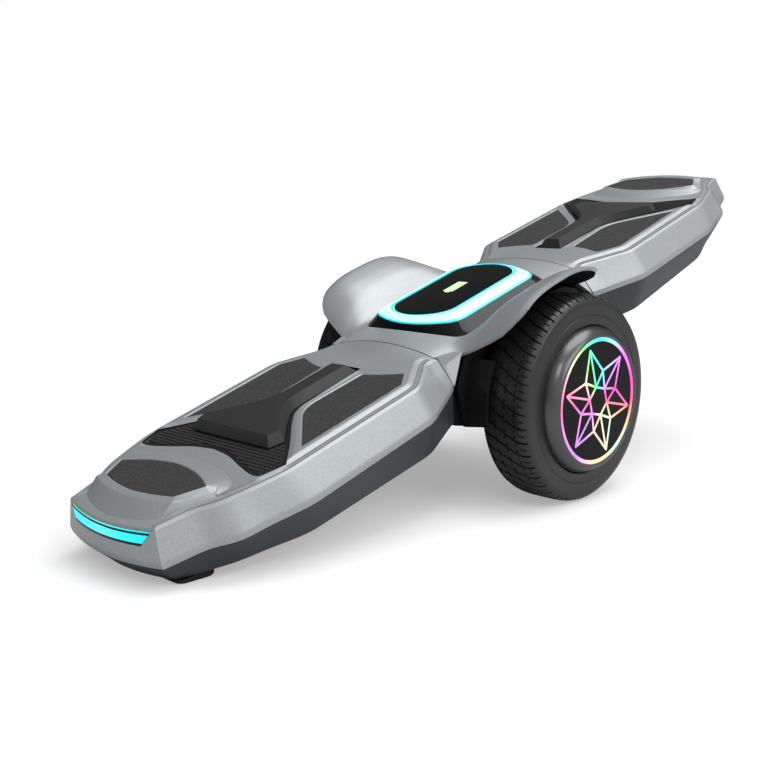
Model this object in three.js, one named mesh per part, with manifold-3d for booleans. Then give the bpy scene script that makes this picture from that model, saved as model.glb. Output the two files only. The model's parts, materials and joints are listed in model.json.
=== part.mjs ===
// A self-balancing board shaped like a skateboard: two hub-motor wheels on one cross axle,
// a pod over the axle with fenders and a lit display, and a twisting foot deck at each end.
//
// Units are millimetres. Everything is modelled in the board's own frame, X along the board
// towards the nose, Y along the axle towards the left wheel, Z up and the origin on the axle.
// The last lines pitch the board nose-down until its front feet stand on the floor.
import * as THREE from "three";
import { mergeVertices } from "three/addons/utils/BufferGeometryUtils.js";
import Module from "manifold-3d";

const wasm = await Module();
wasm.setup();

// ---------------------------------------------------------------- driving dimensions
const TYRE_RADIUS = 82.5;
const PITCH = THREE.MathUtils.degToRad(18); // nose-down rest on the tyres and the front feet
const GAP = 0.3; // clearance between pieces that touch
const WALL = 3; // plastic wall thickness
const ROUND = 40; // sides of a wheel: a whole number fits the pitch, so one corner points straight down

const SEAM = 93.8; // plane where the pod ends
const DECK_START = SEAM + 0.7;
const RIM_Z = 70.3; // sharp rim round the deck's top
const DECK_TOP = 73.4;
const ROOF_Z = 67.4; // underside of the deck's roof
const EDGE_Z = 50; // widest line of the deck
const SPLIT_Z = 45.5; // where the upper and lower shells meet
const BELLY_Z = 16;
const BELLY_RISE = 13.7; // how far the belly has risen by BELLY_SPAN past BELLY_START
const BELLY_START = 174;
const BELLY_SPAN = 174;
const NOSE_STEPS = 8;
const EDGE_STEP = 1.6; // the lower shell's top edge lies this far inside the upper shell's

const TWIST_Z = 40; // height of the shafts that the decks twist on
const SHAFT_RADIUS = 13;
const SHAFT_BORE = 8;
const BUSH_RADIUS = 17;

const POD_HALF_WIDTH = 62;
const POD_BELLY_Z = -16;
const POD_BELLY_HALF = 36; // half the length of the flat belly under the axle
const POD_END_Z = 14; // belly height where the pod meets a deck

const AXLE_RADIUS = 8;
const TYRE_INNER_Y = 74.8;
const TYRE_OUTER_Y = 117.9;
const RIM_RADIUS = 58.3;
const HUB_FACE_Y = 128.1;
const HUB_FACE_RADIUS = 51.7;

const PEDAL_TRAVEL = 2;
const PEDAL_TOP = 80;
const PEDAL_BASE = 72.4;
const PEDAL_POCKET = PEDAL_BASE - PEDAL_TRAVEL - 0.5;

// ---------------------------------------------------------------- colours
const SILVER = { color: 0xb4babd, roughness: 0.42, metalness: 0.35 };
const SLATE = { color: 0x44494d, roughness: 0.5, metalness: 0.1 };
const BLACK = { color: 0x0b0c0d, roughness: 0.6, metalness: 0 };
const GLOSS = { color: 0x050607, roughness: 0.08, metalness: 0 };
const GRIP = { color: 0x3c3d3d, roughness: 0.95, metalness: 0 };
const PEDAL = { color: 0x2e2f30, roughness: 0.7, metalness: 0 };
const RUBBER = { color: 0x131415, roughness: 0.85, metalness: 0 };
const HUB = { color: 0x3b3d3e, roughness: 0.35, metalness: 0.3 };
const STEEL = { color: 0x9a9da0, roughness: 0.3, metalness: 1 };
const CASTING = { color: 0x8f9295, roughness: 0.5, metalness: 0.9 };
const COPPER = { color: 0x9c5a30, roughness: 0.45, metalness: 0.8 };
const BOARD = { color: 0x1f5a34, roughness: 0.5, metalness: 0 };
const SLEEVE = { color: 0x2a4f86, roughness: 0.5, metalness: 0 };
const LIT = { color: 0x35e6f2, roughness: 0.2, metalness: 0, emissive: 0x12c8dc };

// ---------------------------------------------------------------- solids
// A geometry that came from a solid keeps it, so that a chain of cuts loses no accuracy.
function toSolid(geometry) {
  if (geometry.userData.solid) return geometry.userData.solid;
  const bare = geometry.clone();
  bare.deleteAttribute("normal");
  bare.deleteAttribute("uv");
  const merged = mergeVertices(bare, 1e-4);
  return new wasm.Manifold(
    new wasm.Mesh({
      numProp: 3,
      vertProperties: new Float32Array(merged.attributes.position.array),
      triVerts: new Uint32Array(merged.index.array),
    }),
  );
}

function toGeometry(solid) {
  const mesh = solid.getMesh();
  const geometry = new THREE.BufferGeometry();
  geometry.setAttribute("position", new THREE.BufferAttribute(mesh.vertProperties, 3));
  geometry.setIndex(new THREE.BufferAttribute(mesh.triVerts, 1));
  geometry.computeVertexNormals();
  geometry.userData.solid = solid;
  return geometry;
}

function join(...geometries) {
  return toGeometry(geometries.map(toSolid).reduce((whole, piece) => whole.add(piece)));
}

function cut(geometry, ...tools) {
  return toGeometry(tools.map(toSolid).reduce((left, tool) => left.subtract(tool), toSolid(geometry)));
}

function common(first, second) {
  return toGeometry(toSolid(first).intersect(toSolid(second)));
}

function block([x0, x1], [y0, y1], [z0, z1]) {
  const geometry = new THREE.BoxGeometry(x1 - x0, y1 - y0, z1 - z0);
  return geometry.translate((x0 + x1) / 2, (y0 + y1) / 2, (z0 + z1) / 2);
}

const ordered = (a, b) => [Math.min(a, b), Math.max(a, b)];

// A plan outline raised from one height to another.
function prism(points, z0, z1) {
  const shape = new THREE.Shape(points.map(([x, y]) => new THREE.Vector2(x, y)));
  return new THREE.ExtrudeGeometry(shape, { depth: z1 - z0, bevelEnabled: false }).translate(0, 0, z0);
}

// A side outline of [x, z] points carried across from y0 to y1.
function sidePrism(points, y0, y1) {
  return prism(points, -y1, -y0).rotateX(Math.PI / 2);
}

function rodX(radius, x0, x1, y = 0, z = 0, sides = 24) {
  const geometry = new THREE.CylinderGeometry(radius, radius, x1 - x0, sides);
  return geometry.rotateZ(Math.PI / 2).translate((x0 + x1) / 2, y, z);
}

function rodY(radius, y0, y1, x = 0, z = 0, sides = 24) {
  const geometry = new THREE.CylinderGeometry(radius, radius, y1 - y0, sides);
  return geometry.translate(x, (y0 + y1) / 2, z);
}

function rodZ(radius, z0, z1, x = 0, y = 0, sides = 16) {
  const geometry = new THREE.CylinderGeometry(radius, radius, z1 - z0, sides);
  return geometry.rotateX(Math.PI / 2).translate(x, y, (z0 + z1) / 2);
}

// A profile of [radius, y] points turned about the axle, running up the outside from low y.
function turned(profile) {
  const points = profile.map(([radius, y]) => new THREE.Vector2(radius, y));
  return new THREE.LatheGeometry(points, ROUND);
}

// A closed skin over rings of [x, y, z] points, each anticlockwise seen from the last ring's side.
// Its ends are closed in plan, in the YZ plane, or by strips across a ring that mirrors itself in y.
function loft(rings, caps = "plan") {
  const count = rings[0].length;
  const index = [];
  for (let level = 0; level + 1 < rings.length; level++)
    for (let i = 0; i < count; i++) {
      const a = level * count + i;
      const b = level * count + ((i + 1) % count);
      index.push(a, b, b + count, a, b + count, a + count);
    }
  const flat = ([x, y, z]) => (caps === "side" ? new THREE.Vector2(y, z) : new THREE.Vector2(x, y));
  const strips = (ring) => {
    const faces = [];
    for (let i = 0; i + 1 < ring.length / 2; i++) {
      const across = ring.length - 1 - i;
      faces.push([i, i + 1, across]);
      if (i + 1 < across - 1) faces.push([i + 1, across - 1, across]);
    }
    return faces;
  };
  const filled = (contour) => {
    const faces = THREE.ShapeUtils.triangulateShape(contour, []);
    return THREE.ShapeUtils.isClockWise(contour) ? faces.map((face) => face.reverse()) : faces;
  };
  const cap = (ring) => (caps === "strips" ? strips(ring) : filled(ring.map(flat)));
  const last = (rings.length - 1) * count;
  for (const [a, b, c] of cap(rings[0])) index.push(c, b, a);
  for (const [a, b, c] of cap(rings.at(-1))) index.push(last + a, last + b, last + c);
  const geometry = new THREE.BufferGeometry();
  geometry.setAttribute("position", new THREE.Float32BufferAttribute(rings.flat(2), 3));
  geometry.setIndex(index);
  return geometry;
}

// The whole outline from its half on the +Y side, listed from low x to high x.
function around(half) {
  return [...half.map(([x, y]) => [x, -y]), ...[...half].reverse()];
}

function piece(name, geometry, finish) {
  const mesh = new THREE.Mesh(geometry, new THREE.MeshStandardMaterial(finish));
  mesh.name = name;
  return mesh;
}

// ---------------------------------------------------------------- deck outlines
// Half plan outlines from the seam to the nose corner, on the +Y side.
const RIM = {
  side: [
    [DECK_START, 57.5], [104, 57.5], [140, 82], [266, 80.5],
    [290.5, 74], [312, 66.9], [327, 56.3], [352, 50.3],
  ],
  bulge: 8.2,
};
const EDGE = {
  side: [
    [DECK_START, 69.3], [104, 73.9], [142.3, 91], [262, 90],
    [290, 82], [313, 77.5], [328, 64], [357.5, 54.5],
  ],
  bulge: 7.5,
};
const BELLY = {
  side: [
    [DECK_START, 61], [104, 64], [139.5, 77], [262, 74],
    [288, 66], [309, 62], [322, 57], [347.7, 46],
  ],
  bulge: 7.3,
};

const bellyAt = (x) => BELLY_Z + BELLY_RISE * Math.max(0, (x - BELLY_START) / BELLY_SPAN) ** 2;

// The plan outline as a ring at a height that may depend on x, drawn in by an inset.
// Between its corners the nose is a parabola.
function deckRing({ side, bulge }, height, inset = 0) {
  const last = side.length - 1;
  const ends = { 0: inset, [last]: -inset };
  const half = side.map(([x, y], i) => [x + (ends[i] ?? 0), y - inset]);
  const [cornerX, cornerY] = half[last];
  for (let i = 1; i < NOSE_STEPS; i++) {
    const share = i / NOSE_STEPS;
    half.push([cornerX + bulge * (1 - (1 - share) ** 2), cornerY * (1 - share)]);
  }
  const ring = around(half);
  ring.splice(half.length, 0, [cornerX + bulge, 0]);
  return ring.map(([x, y]) => [x, y, typeof height === "function" ? height(x) : height]);
}

// Half outlines of what lies on the deck, on the +Y side from low x to high x.
const GRIP_PAD = [[128.1, 55.5], [139.2, 22.2], [199, 22.1], [242, 66.4], [144.7, 68]];
const MAT_CORNERS = [[208, 16], [262.2, 73.6], [280.6, 68], [280.5, 57], [275, 39], [268, 22], [265.5, 8]];
const TOE_PAD = [
  [296, 12], [299, 26.5], [304, 40], [308.8, 49.5], [318, 47], [327.1, 39.7], [332, 20], [333.5, 7],
];
const BOSS_BASE = [[288, 14], [294, 40], [306, 62], [325, 54], [344.5, 45], [351.5, 24], [354, 8]];
const BOSS_TOP = [[292, 14], [297, 40], [307, 55], [322, 52], [333.5, 46.5], [338, 24], [340.3, 8]];
const PEDAL_FOOT = [
  [134.1, 11.8], [190, 10.8], [201.6, 12.5], [212, 19.5], [226.5, 33], [239, 46], [250.3, 41.5],
];
const PEDAL_CROWN = [
  [140.2, 7.5], [188, 7.2], [199, 8.5], [212, 16], [224, 28], [238, 42.3], [247, 39.6],
];
const BOSS_TOP_Z = 77.2;
const PLUNGERS_X = [165, 228];
const PLUNGER_HOLE = 4.6;
const PEDAL_CLEARANCE = 0.8;
const PAD_FLOOR = 72.2;
const MAT_FLOOR = 71;
const MAT_TOP = 72.3;

// A closed anticlockwise outline with every side moved inwards, or outwards for a negative distance.
function drawnIn(ring, by) {
  const heading = ([x0, y0], [x1, y1]) => Math.atan2(y1 - y0, x1 - x0);
  return ring.map((point, i) => {
    const before = heading(ring.at(i - 1), point);
    const after = heading(point, ring[(i + 1) % ring.length]);
    const normal = [-Math.sin(before) - Math.sin(after), Math.cos(before) + Math.cos(after)];
    const stretch = by / (1 + Math.cos(after - before));
    return [point[0] + normal[0] * stretch, point[1] + normal[1] * stretch];
  });
}

const flipped = (outline) => outline.map(([x, y]) => [x, -y]).reverse();
const flatRing = (half, z) => around(half).map(([x, y]) => [x, y, z]);

// ---------------------------------------------------------------- deck
const LAMP_BOX = [[345, 372], [-48, 48], [59.5, 69.8]];
const LAMP_DEPTH = 5;
const LAND_Y = -85.5; // flat land in the belly's right side that carries the socket and the button
const LAND_Z = 31;
const LAND_RADIUS = 13;
const LAND_DEPTH = 14;
const SOCKET_X = 170;
const BUTTON_X = 210;
const SOCKET_RADIUS = 8;
const SOCKET_BORE = 4.5;
const BUTTON_RADIUS = 6.5;
const BUTTON_PROUD = 1.9;

function deckSkin(inset) {
  return loft([
    deckRing(EDGE, SPLIT_Z, inset),
    deckRing(EDGE, EDGE_Z, inset),
    deckRing(RIM, RIM_Z, inset),
    deckRing(RIM, DECK_TOP, inset + 3),
  ]);
}

// The arched end of the deck's top, which runs on from the pod and dies away into the flat.
const DOME = { end: 119, nearReach: 50, farReach: 24, nearTop: 78.2 }; // arch beside the seam

function deckDome() {
  const rise = (x, reach, top) =>
    [-1, -0.5, 0, 0.5, 1].map((share) => [x, reach * share, top - (top - DECK_TOP + 1) * share ** 2]);
  const section = (x, reach, top) => {
    const foot = [[x, -reach, ROOF_Z], [x, reach, ROOF_Z]];
    return [...foot, ...rise(x, reach, top).reverse()];
  };
  const near = section(DECK_START, DOME.nearReach, DOME.nearTop);
  const far = section(DOME.end, DOME.farReach, DECK_TOP + 0.2);
  return loft([near, far], "side");
}

function upperShell() {
  const boss = loft([flatRing(BOSS_BASE, DECK_TOP - 1), flatRing(BOSS_TOP, BOSS_TOP_Z)]);
  const skin = join(deckSkin(0), deckDome(), boss);
  const cavity = loft([
    deckRing(EDGE, SPLIT_Z - 1, WALL),
    deckRing(EDGE, EDGE_Z, WALL),
    deckRing(RIM, ROOF_Z, WALL + 0.2),
  ]);
  const [lampX, lampY, lampZ] = LAMP_BOX;
  const slot = block(lampX, lampY.map((y) => y + Math.sign(y) * GAP), [lampZ[0] - GAP, lampZ[1] + GAP]);
  const pocket = (outline, floor) => prism(outline, floor, DECK_TOP + 8);
  const plungerHoles = PLUNGERS_X.map((x) => rodZ(PLUNGER_HOLE, ROOF_Z - 1, DECK_TOP, x));
  return cut(
    skin,
    cavity,
    cut(slot, deckSkin(LAMP_DEPTH + GAP)),
    pocket(GRIP_PAD, PAD_FLOOR),
    pocket(flipped(GRIP_PAD), PAD_FLOOR),
    pocket(around(MAT_CORNERS), MAT_FLOOR),
    pocket(drawnIn(around(PEDAL_FOOT), -PEDAL_CLEARANCE), PEDAL_POCKET),
    shaftHole(),
    ...plungerHoles,
  );
}

const shaftHole = () => rodX(SHAFT_RADIUS + 0.5, SEAM, DECK_START + 8, 0, TWIST_Z);

// The lower shell is a tub whose belly rises towards the nose.
function lowerShell(withLands) {
  const top = SPLIT_Z - GAP;
  const skin = loft([deckRing(BELLY, bellyAt), deckRing(EDGE, top, EDGE_STEP)], "strips");
  const floor = deckRing(BELLY, (x) => bellyAt(x) + WALL, WALL);
  const cavity = loft([floor, deckRing(EDGE, top + 1, WALL + EDGE_STEP)], "strips");
  if (!withLands) return cut(skin, cavity, shaftHole());
  const land = (x) => rodY(LAND_RADIUS, LAND_Y, LAND_Y + LAND_DEPTH, x, LAND_Z);
  const sight = (x) => rodY(LAND_RADIUS, LAND_Y - 20, LAND_Y, x, LAND_Z);
  const places = [SOCKET_X, BUTTON_X];
  const hole = (radius, x) => rodY(radius + GAP, LAND_Y - 1, LAND_Y + LAND_DEPTH + 1, x, LAND_Z);
  return cut(
    join(cut(skin, cavity, ...places.map(sight)), ...places.map(land)),
    hole(SOCKET_RADIUS, SOCKET_X),
    hole(BUTTON_RADIUS, BUTTON_X),
    shaftHole(),
  );
}

function gripPad(side) {
  const outline = side > 0 ? GRIP_PAD : flipped(GRIP_PAD);
  return prism(drawnIn(outline, GAP), PAD_FLOOR + GAP, DECK_TOP + 0.2);
}

function texturedMat() {
  const sheet = prism(drawnIn(around(MAT_CORNERS), GAP), MAT_FLOOR + GAP, MAT_TOP);
  return cut(sheet, prism(drawnIn(around(PEDAL_FOOT), -PEDAL_CLEARANCE - GAP), PEDAL_POCKET, PEDAL_TOP));
}

function footPedal() {
  const crown = loft([flatRing(PEDAL_FOOT, PEDAL_BASE), flatRing(PEDAL_CROWN, PEDAL_TOP)]);
  return join(crown, ...PLUNGERS_X.map((x) => rodZ(4, ROOF_Z + 0.6, PEDAL_BASE + 1, x)));
}

function lampLens() {
  const [x, y, z] = LAMP_BOX;
  return cut(common(deckSkin(0), block(x, y, z)), deckSkin(LAMP_DEPTH));
}

// Height of the floor under the resting board, in the board's own frame.
const floorAt = (x) => (x * Math.sin(PITCH) - TYRE_RADIUS) / Math.cos(PITCH);

function floorFoot(y0, y1) {
  const backX = 319;
  const frontX = 349;
  const sole = [[backX, floorAt(backX)], [frontX, floorAt(frontX)]];
  const seat = [frontX + 1, 342, 334, 326, backX - 2].map((x) => [x, bellyAt(x) - GAP - 0.1]);
  return sidePrism([...sole, ...seat], y0, y1);
}

function twistShaft() {
  return cut(rodX(SHAFT_RADIUS, 66, 150, 0, TWIST_Z), rodX(SHAFT_BORE, 60, 160, 0, TWIST_Z));
}

function deckFrame() {
  const clamp = block([112, 152], [-24, 24], [22, 58]);
  const plate = block([148, 318], [-46, 46], [33, 37]);
  return cut(join(clamp, plate), rodX(SHAFT_RADIUS + GAP, 100, 160, 0, TWIST_Z));
}

function sensorBoard() {
  const plate = block([150, 246], [-20, 20], [58, 59.6]);
  const switches = PLUNGERS_X.map((x) => block([x - 7, x + 7], [-7, 7], [59.4, 65.4]));
  return join(plate, ...switches);
}

function tube(points, radius, steps) {
  const knots = points.map((point) => new THREE.Vector3(...point));
  const path = new THREE.CatmullRomCurve3(knots, false, "centripetal");
  const shape = new THREE.Shape();
  for (let quarter = 0; quarter < 4; quarter++)
    shape.absarc(0, 0, radius, (quarter * Math.PI) / 2, ((quarter + 1) * Math.PI) / 2);
  return new THREE.ExtrudeGeometry(shape, { steps, curveSegments: 1, extrudePath: path });
}

function harness() {
  const up = [[159, 0, 57.5], [158, 0, 50], [154, 0, 43]];
  const through = [144, 110, 68].map((x) => [x, 0, TWIST_Z]);
  return tube([...up, ...through], 3, 14);
}

function chargeSocket() {
  const body = rodY(SOCKET_RADIUS, LAND_Y, LAND_Y + 16, SOCKET_X, LAND_Z);
  return cut(body, rodY(SOCKET_BORE, LAND_Y - 1, LAND_Y + 10, SOCKET_X, LAND_Z));
}

function chargeCap() {
  const y = LAND_Y - GAP;
  const flap = rodY(9.5, y - 2.2, y, SOCKET_X, LAND_Z, 28);
  const strap = block([SOCKET_X - 4, SOCKET_X + 4], [y - 2, y], [LAND_Z + 6, LAND_Z + 11]);
  return join(flap, strap);
}

function powerButton() {
  return rodY(BUTTON_RADIUS, LAND_Y - BUTTON_PROUD, LAND_Y + 8, BUTTON_X, LAND_Z, 28);
}

function deck(name, left, right) {
  const isFront = name === "front";
  const group = new THREE.Group();
  group.add(
    piece(`${name}_deck_upper_shell`, upperShell(), SILVER),
    piece(`${name}_deck_lower_shell`, lowerShell(isFront), SLATE),
    piece(`${name}_${left}_grip_pad`, gripPad(1), GRIP),
    piece(`${name}_${right}_grip_pad`, gripPad(-1), GRIP),
    piece(`${name}_toe_pad`, prism(around(TOE_PAD), BOSS_TOP_Z + GAP, BOSS_TOP_Z + 1.3), GRIP),
    piece(`${name}_textured_mat`, texturedMat(), RUBBER),
    piece(`${name}_foot_pedal`, footPedal(), PEDAL),
    piece(`${name}_sensor_board`, sensorBoard(), BOARD),
    piece(`${name}_lamp_lens`, lampLens(), LIT),
    piece(`${name}_${left}_floor_foot`, floorFoot(22, 50), RUBBER),
    piece(`${name}_${right}_floor_foot`, floorFoot(-50, -22), RUBBER),
    piece(`${name}_twist_shaft`, twistShaft(), STEEL),
    piece(`${name}_deck_frame`, deckFrame(), CASTING),
    piece(`${name}_harness`, harness(), BLACK),
  );
  if (isFront)
    group.add(
      piece("charge_socket", chargeSocket(), BLACK),
      piece("charge_cap", chargeCap(), RUBBER),
      piece("power_button", powerButton(), GLOSS),
    );
  else group.rotation.z = Math.PI;
  return group;
}

// ---------------------------------------------------------------- pod
const FENDER_LIP_Y = 110;
const FENDER_TOP_Z = 101.3; // crest over the axle
const FENDER_DROP = 19; // how far the crest has dropped at FENDER_END
const FENDER_END = 62;
const RIDGE_Z = 78.3; // middle of the pod's arched top
const RIDGE_FALL = 0.0026;
const SHOULDER_Y = 50; // where the fender begins to rise
const FLANK = [[SHOULDER_Y, 0], [57, 0.15], [65, 0.44], [75, 0.68], [105, 1], [112, 0.95]];

function flankShare(y) {
  const next = FLANK.findIndex(([at]) => at >= y);
  if (next <= 0) return 0;
  const [y0, low] = FLANK[next - 1];
  const [y1, high] = FLANK[next];
  return low + ((high - low) * (y - y0)) / (y1 - y0);
}

// Height of the pod's outer top surface.
function podTop(x, y) {
  const side = Math.abs(y);
  const arched = RIDGE_Z - RIDGE_FALL * Math.min(side, 66) ** 2;
  const crest = FENDER_TOP_Z - FENDER_DROP * Math.abs(x / FENDER_END) ** 3;
  const share = flankShare(side);
  return arched * (1 - share) + Math.max(crest, 66) * share;
}

// A slab whose top follows a height field and whose underside follows the top by a rule.
function fieldSlab(height, under, [x0, x1], [y0, y1], [columns, rows]) {
  const ring = [];
  for (let i = 0; i <= columns; i++)
    for (let j = 0; j <= rows; j++) {
      const x = x0 + ((x1 - x0) * i) / columns;
      const y = y0 + ((y1 - y0) * j) / rows;
      ring.push([x, y, height(x, y)]);
    }
  const count = ring.length;
  const floor = ring.map(([x, y, z]) => [x, y, under(z)]);
  const index = [];
  const at = (i, j) => i * (rows + 1) + j;
  const quad = (a, b, c, d) => index.push(a, b, c, a, c, d);
  for (let i = 0; i < columns; i++)
    for (let j = 0; j < rows; j++) {
      const corners = [at(i, j), at(i + 1, j), at(i + 1, j + 1), at(i, j + 1)];
      quad(...corners);
      quad(...corners.reverse().map((corner) => corner + count));
    }
  const wall = (a, b) => quad(a + count, b + count, b, a);
  for (let i = 0; i < columns; i++) {
    wall(at(i, 0), at(i + 1, 0));
    wall(at(i + 1, rows), at(i, rows));
  }
  for (let j = 0; j < rows; j++) {
    wall(at(columns, j), at(columns, j + 1));
    wall(at(0, j + 1), at(0, j));
  }
  const geometry = new THREE.BufferGeometry();
  geometry.setAttribute("position", new THREE.Float32BufferAttribute([...ring, ...floor].flat(), 3));
  geometry.setIndex(index);
  return geometry;
}

// Quarter of the pod's plan, +X and +Y: seam, scoop, fender's raked front edge, lip.
const POD_QUARTER = [[SEAM - GAP, 57.5], [75, 66], [66, 90], [59, 104], [46, FENDER_LIP_Y]];

function podPlan() {
  const left = POD_QUARTER;
  const back = left.map(([x, y]) => [-x, y]).reverse();
  const upper = [...left, ...back];
  return [...upper, ...upper.map(([x, y]) => [-x, -y])];
}

// The corner of the pod between the seam and the wheel well, a thin leaf that narrows backwards.
function podScoop(signX, signY) {
  const seamLeaf = [[57.8, 70.6], [54.8, 69], [65.6, 48.8], [69.3, 48.8]];
  const wellLeaf = [[66, 68.6], [64.4, 68], [65.2, 66], [66.4, 66.6]];
  const ring = (leaf, x) => leaf.map(([y, z]) => [x * signX, y * signY, z]);
  const rings = [ring(wellLeaf, 75), ring(seamLeaf, SEAM - GAP)];
  const flips = signX * signY < 0;
  return loft(flips ? rings.map((points) => points.reverse()) : rings, "side");
}

const DISPLAY = {
  skirt: { half: 56, width: 55, apex: 70.5 },
  shoulder: { half: 50.4, width: 46.3, apex: 64 },
  glass: { half: 44, width: 31.3, apex: 57 },
};
const DISPLAY_TOP_Z = 81;
const LIGHT_RING_TOP_Z = 86.3;
const GLASS_TOP_Z = 87;
const ARC_STEPS = 8;

// A long outline with straight sides and parabolic ends.
function displayRing({ half, width, apex }, z, inset = 0) {
  const side = [];
  for (let i = 0; i < ARC_STEPS; i++) {
    const share = 1 - (2 * i) / ARC_STEPS;
    side.push([-(half + (apex - half) * (1 - share ** 2)) + inset, (width - inset) * share, z]);
  }
  side.push([-half + inset, -width + inset, z]);
  const front = side.map(([x, y, height]) => [-x, -y, height]);
  return [...side, ...front].filter(([x, y], i, all) => {
    const before = all[(i + all.length - 1) % all.length];
    return Math.hypot(x - before[0], y - before[1]) > 0.01;
  });
}

function podUpperShell() {
  const alongX = [-SEAM + GAP, SEAM - GAP];
  const acrossY = [-FENDER_LIP_Y - 1, FENDER_LIP_Y + 1];
  const sheet = fieldSlab(podTop, (z) => z - WALL, alongX, acrossY, [18, 26]);
  const outlined = common(sheet, prism(podPlan(), 0, 150));
  const scoops = [[1, 1], [1, -1], [-1, 1], [-1, -1]].map(([x, y]) => podScoop(x, y));
  const window = loft([displayRing(DISPLAY.skirt, 50, -GAP), displayRing(DISPLAY.skirt, 90, -GAP)], "plan");
  return cut(join(outlined, ...scoops), window);
}

const POD_WALL_Y = 61.5;

function podBellyOutline(drop) {
  const end = SEAM - GAP - drop;
  const half = [[POD_BELLY_HALF, POD_BELLY_Z + drop], [end, POD_END_Z + drop]];
  return [...half.map(([x, z]) => [-x, z]).reverse(), ...half];
}

function podLowerShell() {
  const rimZ = 48.3;
  const end = SEAM - GAP;
  const tub = sidePrism([...podBellyOutline(0), [end, rimZ], [-end, rimZ]], -POD_WALL_Y, POD_WALL_Y);
  const bulkhead = (side) => block(ordered(side * (end - WALL), side * end), [-50, 50], [30, 65]);
  const bulkheads = [1, -1].map(bulkhead);
  const inside = end - WALL;
  const insideOutline = [...podBellyOutline(WALL), [inside, 80], [-inside, 80]];
  const hollow = sidePrism(insideOutline, WALL - POD_WALL_Y, POD_WALL_Y - WALL);
  return cut(
    join(tub, ...bulkheads),
    hollow,
    rodX(BUSH_RADIUS + GAP, -100, 100, 0, TWIST_Z),
    rodY(AXLE_RADIUS + 1, -100, 100),
  );
}

// Wall of a wheel well, with a mudguard web before and behind the tyre.
function wheelLiner(side) {
  const wallTop = [[88, 44], [75, 61], [60, 69], [30, 72.5]];
  const end = [88, 11];
  const half = [[POD_BELLY_HALF, POD_BELLY_Z], end, ...wallTop];
  const outline = [...half, ...half.map(([x, z]) => [-x, z]).reverse()];
  const span = (y0, y1) => (side > 0 ? [y0, y1] : [-y1, -y0]);
  const wall = cut(sidePrism(outline, ...span(63.5, 66.3)), rodY(AXLE_RADIUS + 2, -90, 90));
  const web = (mirror) => {
    const arc = (radius, from, to) =>
      [0, 1, 2, 3, 4].map((i) => {
        const angle = THREE.MathUtils.degToRad(from + ((to - from) * i) / 4);
        return [mirror * radius * Math.cos(angle), radius * Math.sin(angle)];
      });
    const points = [...arc(89, 9, 42), ...arc(86.5, 42, 9)];
    return sidePrism(mirror > 0 ? points : points.reverse(), ...span(66, 88));
  };
  return join(wall, web(1), web(-1));
}

function displayBase() {
  const outer = loft([
    displayRing(DISPLAY.skirt, 68.5),
    displayRing(DISPLAY.skirt, 72.5),
    displayRing(DISPLAY.shoulder, DISPLAY_TOP_Z),
  ], "plan");
  return cut(outer, loft([displayRing(DISPLAY.glass, 60), displayRing(DISPLAY.glass, 78)], "plan"));
}

function displayLightRing() {
  const foot = displayRing(DISPLAY.shoulder, DISPLAY_TOP_Z + GAP);
  const band = loft([foot, displayRing(DISPLAY.glass, LIGHT_RING_TOP_Z, -1)], "plan");
  return cut(band, loft([displayRing(DISPLAY.glass, 70), displayRing(DISPLAY.glass, 90)], "plan"));
}

function displayGlass() {
  const heights = [DISPLAY_TOP_Z + GAP, GLASS_TOP_Z];
  return loft(heights.map((z) => displayRing(DISPLAY.glass, z, GAP)), "plan");
}

function axleFrame() {
  const beam = block([-16, 16], [-58, 58], [-12.5, 20]);
  const spine = block([-89.5, 89.5], [-24, 24], [18, 23]);
  const pillows = [-1, 1].map((side) => block(ordered(side * 70, side * 89.5), [-24, 24], [20, 60]));
  return cut(
    join(beam, spine, ...pillows),
    rodX(BUSH_RADIUS + GAP, -100, -60, 0, TWIST_Z),
    rodX(BUSH_RADIUS + GAP, 60, 100, 0, TWIST_Z),
    rodY(AXLE_RADIUS + GAP, -60, 60),
    block([-9, 20], [-28, 28], [-9, 14]),
    block([59, 69.5], [12, 28], [10, 30]),
    block([59, 69.5], [-28, -12], [10, 30]),
  );
}

function twistBush() {
  return cut(rodX(BUSH_RADIUS, 70, SEAM - 0.4, 0, TWIST_Z), rodX(SHAFT_RADIUS + 0.2, 60, 100, 0, TWIST_Z));
}

function controlBoard() {
  const plate = block([-58, 68], [-36, 36], [61.6, 63.2]);
  const heatSink = block([-30, 30], [8, 30], [63, 66.6]);
  const drivers = [-1, 1].map((side) => block([side * 45 - 8, side * 45 + 8], [-30, -14], [63, 66]));
  return join(plate, heatSink, ...drivers);
}

// The lead runs out of the hollow axle, along under the spine and up to the control board.
function motorCable(side) {
  const out = [[0, 26.5, 0], [4, 23, 0], [14, 20, 1.5]];
  const along = [[30, 19, 6], [50, 19, 12], [60, 19, 14.5]];
  const up = [22, 45, 61].map((z) => [65, 19, z]);
  const route = [...out, ...along, ...up].map(([x, y, z]) => [x, y * side, z]);
  return tube(route, 2, 26);
}

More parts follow.
